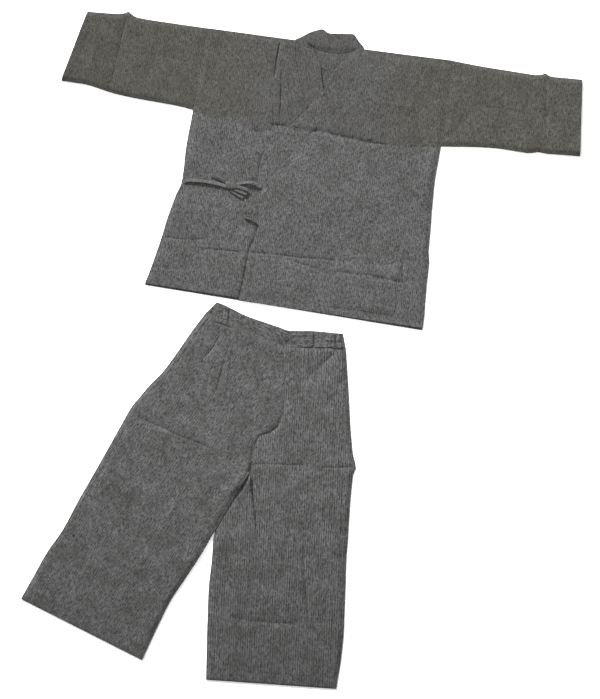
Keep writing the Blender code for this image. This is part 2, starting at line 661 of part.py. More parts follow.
def waistband(parent):
    """A flattened ring whose stations run from the right side to the left side."""
    stations = []
    for first, second in zip(WAIST, WAIST[1:]):
        for i in range(WAIST_STEPS):
            t = i / WAIST_STEPS
            stations.append(Section(*(p + (q - p) * t for p, q in zip(first, second))))
    stations.append(WAIST[-1])
    last = len(stations) - 1
    levels = (0.0, 0.5, 1.0)                  # from the top edge down to the seam
    rings = []
    for level in levels:
        front, back = [], []
        for k, s in enumerate(stations):
            x, y = s.ax + (s.bx - s.ax) * level, s.ay + (s.by - s.ay) * level
            if level == 1.0:
                y = waist_seam_y(x) + SEAM * 1.2
            ends = ease(0, 3, k) * ease(0, 3, last - k)
            gathered = max(ease(a - 0.5, a + 0.5, x) * ease(b + 0.5, b - 0.5, x) for a, b in ELASTIC)
            wave = 0.5 + 0.5 * math.cos(2 * math.pi * x / GATHER_PITCH)
            top = 2 * WAIST_WALL + HOLLOW + ends * (WAIST_PUFF + GATHER_DEPTH * gathered * wave)
            top += LAP_STEP * ease(LAP_X - 0.3, LAP_X, x) * ends
            at_end = k in (0, last)
            z_out = top if not at_end else WAIST_WALL + HOLLOW / 2
            front.append(((x * CM, y * CM, z_out), (x, y, top - WAIST_WALL)))
            back.append(((x * CM, y * CM, 0.0), (x, y, WAIST_WALL)))
        rings.append(close_ring(front, back))
    tube("waistband", rings, parent)


def close_ring(front, back):
    """Joins the waistband's front stations and its back ones into one ring of pairs."""
    middle = WAIST_WALL + HOLLOW / 2
    thick = WAIST_WALL / CM
    ring = []

    def inner(x, y, z, shift):
        return ((x + shift) * CM, y * CM, z)

    first, last = front[0][1], front[-1][1]
    ring.append((front[0][0], inner(first[0], first[1], middle, thick)))
    for outer, (x, y, z) in front[1:-1]:
        ring.append((outer, inner(x, y, z, 0.0)))
    ring.append((front[-1][0], inner(last[0], last[1], middle, -thick)))
    for outer, (x, y, z) in back[-2:0:-2]:
        ring.append((outer, inner(x, y, z, 0.0)))
    return ring


def button(parent):
    bm = bmesh.new()
    bmesh.ops.create_cone(bm, cap_ends=True, segments=20, radius1=BUTTON_RADIUS,
                          radius2=BUTTON_RADIUS * 0.86, depth=BUTTON_HEIGHT)
    base = 2 * WAIST_WALL + HOLLOW + WAIST_PUFF + LAP_STEP + GAP
    bmesh.ops.translate(bm, verts=bm.verts, vec=(BUTTON_CENTRE[0] * CM, BUTTON_CENTRE[1] * CM,
                                                 base + BUTTON_HEIGHT / 2))
    from_bmesh("button", bm, parent, "button")


def trousers(parent):
    right = inset(RIGHT_LEG, 0.0, SEAM)
    left = inset(LEFT_LEG, SEAM, 0.0)
    leg_front("trousers_front_right", right, parent)
    leg_front("trousers_front_left", left, parent)
    leg_back("trousers_back_right", right, parent)
    leg_back("trousers_back_left", left, parent)
    waistband(parent)
    button(parent)


# build

def main():
    for obj in list(bpy.data.objects):
        bpy.data.objects.remove(obj, do_unlink=True)
    collection = bpy.data.collections.new("jinbei_set")
    bpy.context.scene.collection.children.link(collection)
    for name, origin, turn, make in (
            ("jacket_place", JACKET_ORIGIN, JACKET_TURN, jacket),
            ("trousers_place", TROUSERS_ORIGIN, TROUSERS_TURN, trousers)):
        empty = bpy.data.objects.new(name, None)
        empty.location = (origin[0], origin[1], 0.0)
        empty.rotation_euler = (0.0, 0.0, turn)
        collection.objects.link(empty)
        make(empty)


main()
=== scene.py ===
import math

import bmesh
import bpy
import numpy as np
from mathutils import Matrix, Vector


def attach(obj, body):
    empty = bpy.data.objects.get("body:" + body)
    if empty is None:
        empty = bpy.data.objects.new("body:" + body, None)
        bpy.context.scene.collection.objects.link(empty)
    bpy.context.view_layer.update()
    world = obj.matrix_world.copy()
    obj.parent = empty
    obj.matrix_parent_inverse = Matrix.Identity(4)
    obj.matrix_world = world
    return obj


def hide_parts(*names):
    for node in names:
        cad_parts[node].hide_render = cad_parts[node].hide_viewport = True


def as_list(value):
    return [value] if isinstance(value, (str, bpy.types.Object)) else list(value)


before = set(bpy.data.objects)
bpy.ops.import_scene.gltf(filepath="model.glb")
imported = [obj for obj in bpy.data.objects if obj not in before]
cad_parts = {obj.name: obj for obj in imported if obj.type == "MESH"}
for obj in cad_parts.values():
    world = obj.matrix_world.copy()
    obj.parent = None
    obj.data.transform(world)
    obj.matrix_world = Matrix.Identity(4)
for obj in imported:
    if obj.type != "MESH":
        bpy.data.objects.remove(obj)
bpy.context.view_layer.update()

scene = bpy.context.scene
scene.view_settings.view_transform = "Standard"
cm = 0.01

# shared values: heights in metres, everything flat in centimetres
cloth = {
    "wall": 0.0012,        # one layer
    "gap": 0.0003,         # between layers that lie on each other
    "step": 0.36,          # mesh spacing where the cloth shows
    "backStep": 1,         # and on hidden layers
    "rim": 0.3,            # share of a step from an edge to the first mesh line
    "round": 0.35,         # share of the wall by which a rounded edge stands out
    "hem": 1.5,            # depth of the jacket's turned hems
}
frontLevel = cloth["wall"] + cloth["gap"]
places = {                 # garment origin in metres and turn on the floor
    "jacket": (0.0634, 0.7924, math.radians(-8.5)),
    "trousers": (-0.0609, 0.0304, 0),
}


# helpers for shapes
def ease(start, end, value):
    t = np.clip((value - start) / (end - start), 0, 1)
    return t * t * (3 - 2 * t)


def within(value, start, full, last, end):
    # rises from start to full, and falls again from last to end
    return ease(start, full, value) * ease(end, last, value)


def line(distance, width):
    # 1 on a line, dying away to each side of it
    return np.exp(-(distance / width) ** 2)


def runLength(steps):
    return np.concatenate([[0], np.cumsum(steps)])


def atLeast(value, least=0):
    return np.maximum(value, least)


def inPlace(place, x, y, z):
    ox, oy, turn = places[place]
    c, s = math.cos(turn), math.sin(turn)
    x, y, z = np.broadcast_arrays(x, y, z)
    return np.stack([ox + cm * (x * c - y * s), oy + cm * (x * s + y * c), z], axis=-1)


def softNoise(x, y, size, seed):
    # smooth bumps about `size` cm across, from -1 to 1
    lattice = np.random.RandomState(seed).uniform(-1, 1, (64, 64))
    gx, gy = np.asarray(x) / size + 400, np.asarray(y) / size + 400
    ix, iy = np.floor(gx).astype(int), np.floor(gy).astype(int)
    fx, fy = gx - ix, gy - iy
    fx, fy = fx * fx * (3 - 2 * fx), fy * fy * (3 - 2 * fy)
    rows = [lattice[ix % 64, j % 64] * (1 - fx) + lattice[(ix + 1) % 64, j % 64] * fx for j in (iy, iy + 1)]
    return rows[0] * (1 - fy) + rows[1] * fy


def smoothRows(table, step):
    # denser rows through a table's own rows, with no overshoot between them
    t = np.array(table, float)
    delta = np.diff(t, axis=0)
    slope = np.zeros_like(t)
    same = delta[:-1] * delta[1:] > 0
    total = np.where(same, delta[:-1] + delta[1:], 1)
    slope[1:-1] = np.where(same, 2 * delta[:-1] * delta[1:] / total, 0)
    slope[0], slope[-1] = delta[0], delta[-1]
    rows = []
    for k in range(len(delta)):
        reach = max(np.hypot(*delta[k][i:i + 2]) for i in range(0, t.shape[1] - 1, 2))
        count = max(1, int(round(reach / step)))
        s = (np.arange(count) / count)[:, None]
        rows.append((2 * s**3 - 3 * s**2 + 1) * t[k] + (s**3 - 2 * s**2 + s) * slope[k]
                    + (3 * s**2 - 2 * s**3) * t[k + 1] + (s**3 - s**2) * slope[k + 1])
    return np.vstack(rows + [t[-1:]])


def rimmed(values, rim):
    # the same values with one more close to each end
    lead = rim * (values[1] - values[0])
    tail = rim * (values[-1] - values[-2])
    return np.concatenate([values[:1], [values[0] + lead], values[1:-1], [values[-1] - tail], values[-1:]])


def widths(rows):
    return np.hypot(rows[:, 2] - rows[:, 0], rows[:, 3] - rows[:, 1])[:, None]


def gridOf(rows, step):
    # a grid between edges a and b: x, y and the distances to the edges and ends, all in cm
    count = max(3, int(round(widths(rows).max() / step)) + 1)
    shares = rimmed(np.linspace(0, 1, count), cloth["rim"])
    rows = rimmed(rows, cloth["rim"])
    wide = widths(rows)
    x = rows[:, :1] + (rows[:, 2:3] - rows[:, :1]) * shares
    y = rows[:, 1:2] + (rows[:, 3:4] - rows[:, 1:2]) * shares
    down = np.hypot(np.diff(x, axis=0), np.diff(y, axis=0))
    fromStart = np.vstack([np.zeros((1, x.shape[1])), np.cumsum(down, axis=0)])
    return {"x": x, "y": y, "fromA": wide * shares, "fromB": wide * (1 - shares),
            "fromStart": fromStart, "fromEnd": fromStart[-1:] - fromStart}


def fromRim(grid):
    # distance in from the nearest edge or end
    return np.minimum.reduce([grid[key] for key in ("fromA", "fromB", "fromStart", "fromEnd")])


def alongPath(x, y, path):
    # signed distance to a path, how far along it from 0 to 1, and the nearest point on it
    best = np.full(np.shape(x), 1e9)
    side, along, atX, atY = np.zeros((4,) + np.shape(x))
    lengths = [math.hypot(q[0] - p[0], q[1] - p[1]) for p, q in zip(path, path[1:])]
    done, total = 0, sum(lengths)
    for p, q, length in zip(path, path[1:], lengths):
        dx, dy = (q[0] - p[0]) / length, (q[1] - p[1]) / length
        t = np.clip((x - p[0]) * dx + (y - p[1]) * dy, 0, length)
        off = np.hypot(x - p[0] - dx * t, y - p[1] - dy * t)
        turn = (x - p[0]) * dy - (y - p[1]) * dx        # positive to the right of the path
        closer = off < best
        best = np.where(closer, off, best)
        side = np.where(closer, np.where(turn < 0, -1, 1), side)
        along = np.where(closer, (done + t) / total, along)
        atX, atY = np.where(closer, p[0] + dx * t, atX), np.where(closer, p[1] + dy * t, atY)
        done += length
    return best * side, along, atX, atY


foldValues = {
    "step": 1.6,           # cm, between the points of a smoothed path
    "draw": 0.9,           # cm, reach of the drawn mesh lines
    "reach": 12,           # how many widths away a fold is still felt
    "edge": 0.13,          # cm, half width of a fold's crisp line
    "ledge": 3.2,          # how many widths a ledge takes to fade
    "groove": 0.55,        # share of the depth that is in the crisp line
    "uneven": 0.3,         # share of the height that varies along a fold
    "fade": 0.16,          # share of its length over which each end dies out
}


def foldsNear(x, y, table, reach=None):
    # each fold that comes near the points: its number and row, which points, and alongPath for them
    for k, (width, depth, ledge, *path) in enumerate(table):
        xs, ys, far = path[::2], path[1::2], reach or foldValues["reach"] * width
        near = (x > min(xs) - far) & (x < max(xs) + far) & (y > min(ys) - far) & (y < max(ys) + far)
        if near.any():
            found = alongPath(x[near], y[near], smoothRows(list(zip(xs, ys)), foldValues["step"]))
            yield k, width, depth, ledge, near, found


def drawn(grid, table):
    # mesh lines drawn in towards the folds, so that a fold's edge stays crisp
    x, y = grid["x"].copy(), grid["y"].copy()
    free = ease(0.2, 1, fromRim(grid))
    reach = foldValues["draw"]
    for _, _, _, _, near, (off, along, atX, atY) in foldsNear(x, y, table, reach):
        share = np.minimum(np.abs(off) / reach, 1)
        share = 1 + (share - 1) * free[near] * within(along, 0, 0.08, 0.92, 1)
        x[near], y[near] = atX + (x[near] - atX) * share, atY + (y[near] - atY) * share
    grid["x"], grid["y"] = x, y
    return grid


def creases(x, y, table, seed=0):
    # each row: width in cm, depth in mm (down is negative), ledge in mm, then x and y along its path;
    # the ledge is raised on the right of the path, or on its left where it is negative, and ends in a
    # crisp edge at the path; a row without a ledge is a soft trough or ridge
    v = foldValues
    total = np.zeros(np.shape(x))
    for k, width, depth, ledge, near, (off, along, _, _) in foldsNear(x, y, table):
        fade = within(along, 0, v["fade"], 1 - v["fade"], 1)
        uneven = 1 + v["uneven"] * softNoise(along * 9, np.full(off.shape, k * 3.1), 1, seed + 5)
        dip = depth * np.exp(-(np.abs(off) / (1.3 * width)) ** 1.25)
        if depth < 0 and ledge != 0:
            dip = 0.7 * dip + v["groove"] * depth * line(off, v["edge"])
        up = atLeast(off if ledge > 0 else -off)
        lip = abs(ledge) * ease(0, 1.3 * v["edge"], up) * np.exp(-up / (v["ledge"] * width))
        total[near] += 0.001 * (dip + lip) * fade * uneven
    return total


def unevenness(x, y, seed):
    # laid by hand: broad swells and a finer crinkle that runs with the warp
    broad = 0.55 * softNoise(x, y, 11, seed) + 0.30 * softNoise(x, y, 5, seed + 1)
    return 1.25 + 0.55 * broad + 0.10 * softNoise(x, y * 0.35, 0.9, seed + 2)


def hemStep(fromEnd, depth, rise, groove):
    # a turned hem is a little higher, with a groove at its stitching
    return rise * ease(depth + 0.25, depth - 0.15, fromEnd) - groove * line(fromEnd - depth, 0.22)


def linked(name, data):
    obj = bpy.data.objects.new(name, data)
    scene.collection.objects.link(obj)
    return obj


def asMesh(name, bm):
    mesh = bpy.data.meshes.new(name)
    bm.to_mesh(mesh)
    bm.free()
    return mesh


def meshFrom(name, verts, faces, uv, finish):
    mesh = bpy.data.meshes.new(name)
    mesh.from_pydata(verts.tolist(), [], faces)
    mesh.update()
    loops = np.empty(len(mesh.loops), dtype=np.int32)
    mesh.loops.foreach_get("vertex_index", loops)
    layer = mesh.uv_layers.new(name="grain")
    layer.data.foreach_set("uv", uv[loops].astype(np.float32).ravel())
    mesh.polygons.foreach_set("use_smooth", [True] * len(mesh.polygons))
    mesh.materials.append(finish)
    return linked(name, mesh)


def shell(name, place, grid, low, thick, finish, grain=0):
    # a cloth wall: a grid of undersides, its top, and a rounded edge all round
    x, y = grid["x"], grid["y"]
    low, thick, _ = np.broadcast_arrays(low, thick, x)
    index = np.arange(x.size).reshape(x.shape)
    ring = np.concatenate([index[0, :], index[1:, -1], index[-1, -2::-1], index[-2:0:-1, 0]])
    fx, fy = x.ravel()[ring], y.ravel()[ring]
    area = np.sum(fx * np.roll(fy, -1) - np.roll(fx, -1) * fy)
    tx, ty = np.roll(fx, -1) - np.roll(fx, 1), np.roll(fy, -1) - np.roll(fy, 1)
    size = np.maximum(np.hypot(tx, ty), 1e-9) * np.sign(area)
    out = cloth["round"] * thick.ravel()[ring] / cm
    rimX, rimY = fx + ty / size * out, fy - tx / size * out
    rimZ = low.ravel()[ring] + 0.5 * thick.ravel()[ring]
    flatX, flatY = (np.concatenate([v.ravel(), v.ravel(), rim]) for v, rim in ((x, rimX), (y, rimY)))
    verts = inPlace(place, flatX, flatY, np.concatenate([low.ravel(), (low + thick).ravel(), rimZ]))
    c, s = math.cos(grain), math.sin(grain)
    uv = np.stack([cm * (flatX * c + flatY * s), cm * (flatY * c - flatX * s)], axis=-1)
    quads = np.stack([index[:-1, :-1], index[:-1, 1:], index[1:, 1:], index[1:, :-1]], axis=-1).reshape(-1, 4)
    after, rim = np.roll(ring, -1), np.arange(len(ring)) + 2 * x.size
    rimAfter = np.roll(rim, -1)
    faces = np.vstack([quads + x.size, quads[:, ::-1], np.stack([ring, after, rimAfter, rim], axis=-1),
                       np.stack([rim, rimAfter, after + x.size, ring + x.size], axis=-1)])
    grid["top"] = low + thick
    return meshFrom(name, verts, (faces if area > 0 else faces[:, ::-1]).tolist(), uv, finish)


def quadsRound(index):
    # faces between each ring of points and the next
    after = np.roll(index, -1, axis=1)
    return np.stack([index[:-1], after[:-1], after[1:], index[1:]], axis=-1).reshape(-1, 4)


def turnOutward(obj):
    bm = bmesh.new()
    bm.from_mesh(obj.data)
    if bm.calc_volume(signed=True) < 0:
        bmesh.ops.reverse_faces(bm, faces=bm.faces)
        bm.to_mesh(obj.data)
    bm.free()
    return obj


def ringShell(name, outer, inner, uv, finish):
    # a flattened tube from rings of outer and inner points, open at both ends
    count = outer.shape[0] * outer.shape[1]
    index = np.arange(count).reshape(outer.shape[:2])
    walls, after = quadsRound(index), np.roll(index, -1, axis=1)
    first = np.stack([index[0] + count, after[0] + count, after[0], index[0]], axis=-1)
    last = np.stack([index[-1], after[-1], after[-1] + count, index[-1] + count], axis=-1)
    faces = np.vstack([walls, walls[:, ::-1] + count, first, last]).tolist()
    verts, uv = np.vstack([outer.reshape(-1, 3), inner.reshape(-1, 3)]), uv.reshape(-1, 2)
    return turnOutward(meshFrom(name, verts, faces, np.vstack([uv, uv]), finish))


# materials
def nodeMaker(tree):
    # adds a node with its settings, and fills each input with a value or a link
    def add(kind, inputs=None, **settings):
        made = tree.nodes.new(kind)
        for key, value in settings.items():
            setattr(made, key, value)
        for key, value in (inputs or {}).items():
            if isinstance(value, bpy.types.NodeSocket):
                tree.links.new(value, made.inputs[key])
            else:
                made.inputs[key].default_value = value
        return made
    return add


def newFinish(name):
    made = bpy.data.materials.new(name)
    made.use_nodes = True
    tree = made.node_tree
    return made, tree.nodes["Principled BSDF"].inputs, nodeMaker(tree), tree.links.new


def rampOf(add, value, *stops):
    ramp = add("ShaderNodeValToRGB", {0: value})
    for element, (position, colour) in zip(ramp.color_ramp.elements, stops):
        element.position, element.color = position, (*colour, 1)
    return ramp.outputs[0]


# tones and tints are linear colours; slub (a thick yarn), yarn, weft, stripe and speck are metres
# across and along, and shares say how much each of the five counts; ramp is where the dark and the
# light tone stand; cloud and area are a size in metres and a strength; top and middle are painted
# shade, tints that make the shoulders and sleeves darker and warmer up from the chest fold, low and
# sleeve are painted shade that darkens the lower part and the wearer's right sleeve, and calm lowers
# the contrast up from the chest fold
jacketLook = {
    "dark": (0.0068, 0.0068, 0.0068), "light": (0.0655, 0.0655, 0.0660), "low": 0.95, "sleeve": 0.87,
    "top": (0.820, 0.788, 0.670), "middle": (0.835, 0.826, 0.800),
    "slub": (0.0024, 0.0090), "yarn": (0.0009, 0.0060), "weft": (0.0014, 0.007), "stripe": (0.0050, 0.014),
    "speck": (0.0025, 0.0034), "shares": (0.31, 0.10, 0.17, 0.20, 0.22), "ramp": (0.268, 0.752), "calm": 0.14,
    "cloud": (0.015, 0.12), "area": (0.055, 0.09), "bump": 0.0002,
}
trousersLook = {
    # low here is painted shade, darkening the lower legs
    "dark": (0.0065, 0.0065, 0.0065), "light": (0.0620, 0.0628, 0.0625), "low": 0.78, "sleeve": 1,
    "top": (1, 1, 1), "middle": (1, 1, 1),
    "slub": (0.0026, 0.0100), "yarn": (0.0009, 0.0060), "weft": (0.0013, 0.007), "stripe": (0.0059, 0.022),
    "speck": (0.0026, 0.0036), "shares": (0.29, 0.10, 0.14, 0.30, 0.17), "ramp": (0.275, 0.745), "calm": 0,
    "cloud": (0.016, 0.20), "area": (0.050, 0.17), "bump": 0.0002,
}
bandLook = dict(trousersLook, shares=(0.30, 0.16, 0.18, 0.12, 0.24))
# its low is painted shade too, darkening the lower part of this leg
rightLegLook = dict(trousersLook, shares=(0.27, 0.10, 0.20, 0.20, 0.23), ramp=(0.255, 0.765), low=0.88)
tieLook = dict(jacketLook, dark=(0.009, 0.009, 0.009), light=(0.074, 0.074, 0.074),
               top=(1, 1, 1), middle=(1, 1, 1), low=1)


def makeCloth(name, look):
    made, shader, add, link = newFinish(name)

    def calc(operation, a, b=0):
        return add("ShaderNodeMath", {0: a, 1: b}, operation=operation).outputs[0]

    def spread(value, start, end, low=0, high=1, kind="LINEAR"):
        inputs = {"Value": value, "From Min": start, "From Max": end, "To Min": low, "To Max": high}
        return add("ShaderNodeMapRange", inputs, interpolation_type=kind).outputs[0]

    def joined(*values):
        return add("ShaderNodeCombineXYZ", dict(enumerate(values))).outputs[0]

    def noise(place, scale, detail):
        return add("ShaderNodeTexNoise", {"Vector": place, "Scale": scale, "Detail": detail}).outputs[0]

    def cells(value, size):
        return calc("FLOOR", calc("DIVIDE", value, size))

    def streak(u, v, size, seed, detail=1):
        # yarns size[0] wide, whose shade changes about every size[1]
        place = joined(calc("MULTIPLY", cells(u, size[0]), 1.371), calc("DIVIDE", v, size[1]), seed)
        return noise(place, 1, detail)

    def blend(factor, a, b, kind="MIX"):
        inputs = {"Factor": factor, "A": a, "B": b}
        return add("ShaderNodeMix", inputs, data_type="RGBA", blend_type=kind).outputs["Result"]

    coords = add("ShaderNodeUVMap", uv_map="grain").outputs[0]
    u, v = add("ShaderNodeSeparateXYZ", {0: coords}).outputs[:2]
    # a fine stripe that breaks along its length, and specks where the threads cross
    wave = calc("SINE", calc("MULTIPLY", u, 2 * math.pi / look["stripe"][0]))
    stripe = calc("MULTIPLY", wave, spread(streak(u, v, look["stripe"], 5.3), 0.36, 0.60))
    crossing = joined(*(cells(value, size) for value, size in zip((u, v), look["speck"])))
    yarns = (
        spread(streak(u, v, look["slub"], 0, 1.5), 0.30, 0.70),
        spread(streak(u, v, look["yarn"], 3.7), 0.25, 0.75),
        spread(streak(v, u, look["weft"], 7.9), 0.25, 0.75),
        calc("ADD", calc("MULTIPLY", stripe, 0.5), 0.5),
        add("ShaderNodeTexWhiteNoise", {"Vector": crossing}, noise_dimensions="2D").outputs[0],
    )
    parts = [calc("MULTIPLY", value, share) for value, share in zip(yarns, look["shares"])]
    relief = calc("ADD", parts[0], parts[1])
    shade = calc("ADD", calc("ADD", relief, calc("ADD", parts[2], parts[3])), parts[4])
    # painted shade: the shoulders and sleeves, up from the chest fold, are a little darker and warmer, and
    # calmer in contrast
    shadeAboveFold = spread(v, -0.244, -0.222, kind="SMOOTHSTEP")
    calm = calc("SUBTRACT", 1, calc("MULTIPLY", shadeAboveFold, look["calm"]))
    shade = calc("ADD", calc("MULTIPLY", calc("SUBTRACT", shade, 0.5), calm), 0.5)
    colour = rampOf(add, shade, *zip(look["ramp"], (look["dark"], look["light"])))
    # painted shade: towards the sides the darker, warmer top tint takes over from the middle one
    shadeTowardSides = spread(calc("ABSOLUTE", u), 0.08, 0.30, kind="SMOOTHSTEP")
    colour = blend(shadeAboveFold, colour, blend(shadeTowardSides, (*look["middle"], 1), (*look["top"], 1)), "MULTIPLY")
    # a faint cloudiness, as washed cloth has, and broad areas a little lighter, warmer or cooler
    levels = []
    for (size, amount), detail in ((look["cloud"], 2), (look["area"], 0.5)):
        soft = spread(noise(coords, 1 / size, detail), 0.3, 0.7)
        levels.append(calc("ADD", calc("MULTIPLY", soft, 2 * amount), 1 - amount))
    tone = blend(soft, (1.008, 1, 0.985, 1), (0.990, 1, 1.014, 1))
    toned = add("ShaderNodeVectorMath", {0: colour, 1: tone}, operation="MULTIPLY").outputs[0]
    # painted shade: the lower part is a little darker, and so is the wearer's right sleeve
    level = calc("MULTIPLY", calc("MULTIPLY", *levels), spread(v, -0.85, -0.30, look["low"]))
    level = calc("MULTIPLY", level, spread(u, -0.62, -0.24, look["sleeve"]))
    toned = add("ShaderNodeVectorMath", {0: toned, "Scale": level}, operation="SCALE").outputs[0]
    link(toned, shader["Base Color"])
    for key, value in (("Roughness", 0.92), ("Specular IOR Level", 0.25), ("Sheen Weight", 0.06),
                       ("Sheen Roughness", 0.5)):
        shader[key].default_value = value
    bump = add("ShaderNodeBump", {"Distance": look["bump"], "Strength": 0.6, "Height": relief})
    link(bump.outputs[0], shader["Normal"])
    return made


def makePlain(name, colour, roughness, grainSize, variation):
    made, shader, add, link = newFinish(name)
    coords = add("ShaderNodeTexCoord").outputs["Object"]
    noise = add("ShaderNodeTexNoise", {"Vector": coords, "Scale": 1 / grainSize, "Detail": 3}).outputs[0]
    stops = [(0.5 + 0.2 * side, [value * (1 + side * variation) for value in colour]) for side in (-1, 1)]
    link(rampOf(add, noise, *stops), shader["Base Color"])
    shader["Roughness"].default_value = roughness
    return made


jacketCloth = makeCloth("jacketCrepe", jacketLook)
legCloth = {"left": makeCloth("trousersCrepe", trousersLook)}
legCloth["right"] = makeCloth("rightLegCrepe", rightLegLook)
bandCloth = makeCloth("bandCloth", bandLook)
tieCloth = makeCloth("tieCrepe", tieLook)
threadFinish = makePlain("sewingThread", (0.032, 0.032, 0.034), 0.7, 0.0006, 0.25)
buttonFinish = makePlain("buttonResin", (0.006, 0.006, 0.0065), 0.75, 0.003, 0.3)
print("materials made")

stitchRuns = []            # one row for each line of stitching: points in metres
threadLift = 0.0001        # how far a thread's middle lies over the cloth


def stitchAt(place, grid, rows, cols):
    x, y, top = (grid[key][rows, cols] for key in ("x", "y", "top"))
    stitchRuns.append(inPlace(place, x, y, top + threadLift))


def stitchBeside(place, grid, edge, distance, used):
    # a run at a distance in from edge a or edge b, one point for each of the grid's rows
    x, y, top = (np.array([np.interp(distance, *zip(*sorted(zip(*pair))))
                           for pair in zip(grid[edge], grid[key])])[used] for key in ("x", "y", "top"))
    stitchRuns.append(inPlace(place, x, y, top + threadLift))


def rowAt(grid, key, distance):
    # the grid's row that lies at a distance from its first or last row
    return int(np.argmin(np.abs(grid[key].mean(axis=1) - distance)))


# jacket
armholes = {"right": (-33, -0.3, -33.2, -22.6), "left": (32.7, 0.6, 32.8, -22.7)}


def onArmhole(rows, side, column):
    x0, y0, x1, y1 = armholes[side]
    y = rows[:, column + 1]
    rows[:, column] = np.where(y > y1, x0 + (x1 - x0) * (y - y0) / (y1 - y0), rows[:, column])
    return rows


# each row of a garment table is the two ends of a line across it, in cm
backTable = [
    (-33, -0.3, 32.7, 0.6), (-33.1, -8, 32.7, -8), (-33.15, -15.5, 32.75, -15.5), (-33.2, -22.5, 32.8, -22.7),
    (-33.5, -30.7, 32.5, -33), (-33.2, -41.2, 33, -42.6), (-34.7, -48.4, 33.5, -50.8),
    (-36.1, -57.2, 34.2, -58.5), (-37.1, -63.1, 34.6, -66), (-38.5, -70.5, 34.8, -71.6),
]
# wearer's right front: side seam, then collar seam and hidden front edge
rightTable = [
    (-33, -0.3, -9.3, -0.1), (-33.05, -4, -8.8, -4), (-33.1, -8, -7.6, -8), (-33.1, -12.6, -5.9, -12.6),
    (-33.15, -16, -4, -16), (-33.15, -19, -2, -19), (-33.2, -22.5, -0.3, -21.6), (-33.3, -25, 1.3, -24.2),
    (-33.4, -28.5, 3.9, -28), (-33.5, -32, 6.3, -31.6), (-33.4, -36, 9.2, -36), (-33.2, -38.5, 10.8, -38.4),
    (-33.1, -40.8, 12.4, -40.8), (-33.4, -43.4, 13, -43.4), (-34.1, -45.6, 12.9, -46),
    (-34.9, -49.4, 12.9, -50), (-35.6, -53.4, 12.8, -54), (-36.1, -57.3, 12.8, -57.7),
    (-37.1, -63.1, 12.8, -63.4), (-37.8, -66.8, 12.7, -67), (-38.5, -70.1, 12.7, -70.6),
]
# wearer's left front: collar seam and open front edge, then side seam
leftTable = [
    (9, 0.1, 32.7, 0.6), (8.8, -4, 32.7, -4), (7.6, -8, 32.72, -8), (5.9, -12.6, 32.74, -12.6),
    (4, -16, 32.76, -16), (2, -19, 32.78, -19), (0.3, -21.6, 32.8, -21.8), (-0.8, -23.3, 32.75, -23.8),
    (-2.1, -25.2, 32.7, -25.8), (-4.2, -28.4, 32.6, -28.8), (-6.3, -31.6, 32.5, -32),
    (-9.2, -36, 32.7, -36.4), (-10.8, -38.4, 32.8, -38.6), (-12.4, -40.8, 32.9, -40.8),
    (-12.9, -43.6, 33.1, -43.6), (-12, -47, 33.3, -47), (-11.4, -51, 33.5, -50.8), (-12, -54.4, 34.1, -54.2),
    (-12.9, -57.7, 34.2, -57.6), (-13.1, -63.4, 34.4, -63.4), (-13.4, -68, 34.8, -68),
    (-13.6, -71, 34.8, -71.1),
]
# the collar's free edges, and its two edges round the neck
collarRight = [
    (-5.4, -0.6), (-3.4, -3.4), (-1.6, -6.4), (-0.9, -9.6), (0.3, -12.7), (2.1, -16), (4, -18.8),
    (5.6, -21.2), (8.3, -25.2), (10.9, -28.4), (12.9, -31.2), (13.5, -35.8), (13.2, -40.2),
]
collarLeft = [
    (7, 0), (4.6, -3.2), (2.5, -6.2), (1, -10), (0, -13.1), (-2.1, -16.2), (-4, -18.8), (-5.2, -20.4),
    (-6.5, -22.2), (-8.7, -25.3), (-10.9, -28.4), (-12.9, -31.2), (-13.5, -35.8), (-13.2, -40.2),
]
collarNeck = [
    (-4.3, -1.2, -8, 0.9), (-3.2, -1.6, -6, 2.4), (-2, -1.8, -4.3, 3.3), (-0.8, -1.9, -2.6, 3.9),
    (0.5, -1.9, -0.7, 3.1), (1.8, -1.9, 1.8, 3.4), (3.2, -1.7, 3.8, 3.6), (4.5, -1.4, 5.5, 3.8),
    (5.8, -0.8, 7.4, 2),
]
jacketValues = {
    "puff": 0.0022,            # height of the soft unevenness of the fronts
    "seamRest": 0.35,          # share of it left at the sleeve seams
    "sideReach": 1.6,          # cm, over which it rises from the side seams
    "bandWall": 0.0022,        # collar, folded double
    "droop": 0.0005,           # how much lower it lies once past the other band
    "neckThin": 0.9,           # how much thinner it lies at the back of the neck
    "seamGap": 0.02,           # cm, beside the collar seam
    "hemRise": 0.0005,         # of the turned hems, and the depth of their stitched groove
    "hemWave": 0.0008,         # lift of the hems
    "openEdge": 0.0014,        # lift of the open front edge below the tie
    "hemLift": 0.0022,         # and of the hem near the side seam
    "bowPress": 0.82,          # share of the folds pressed flat round the bow
    "lapPress": 0.5,           # and beside the lap
    "edgeStitch": 0.5,         # cm, from the open front edge to its stitching
    "bandStitch": 0.35,        # cm, from the collar's edges to theirs
    "bandStep": 0.45,          # cm, mesh spacing across the collar
    "crown": (0.0005, 0.0004),     # how much its middle stands up, and its unevenness
}
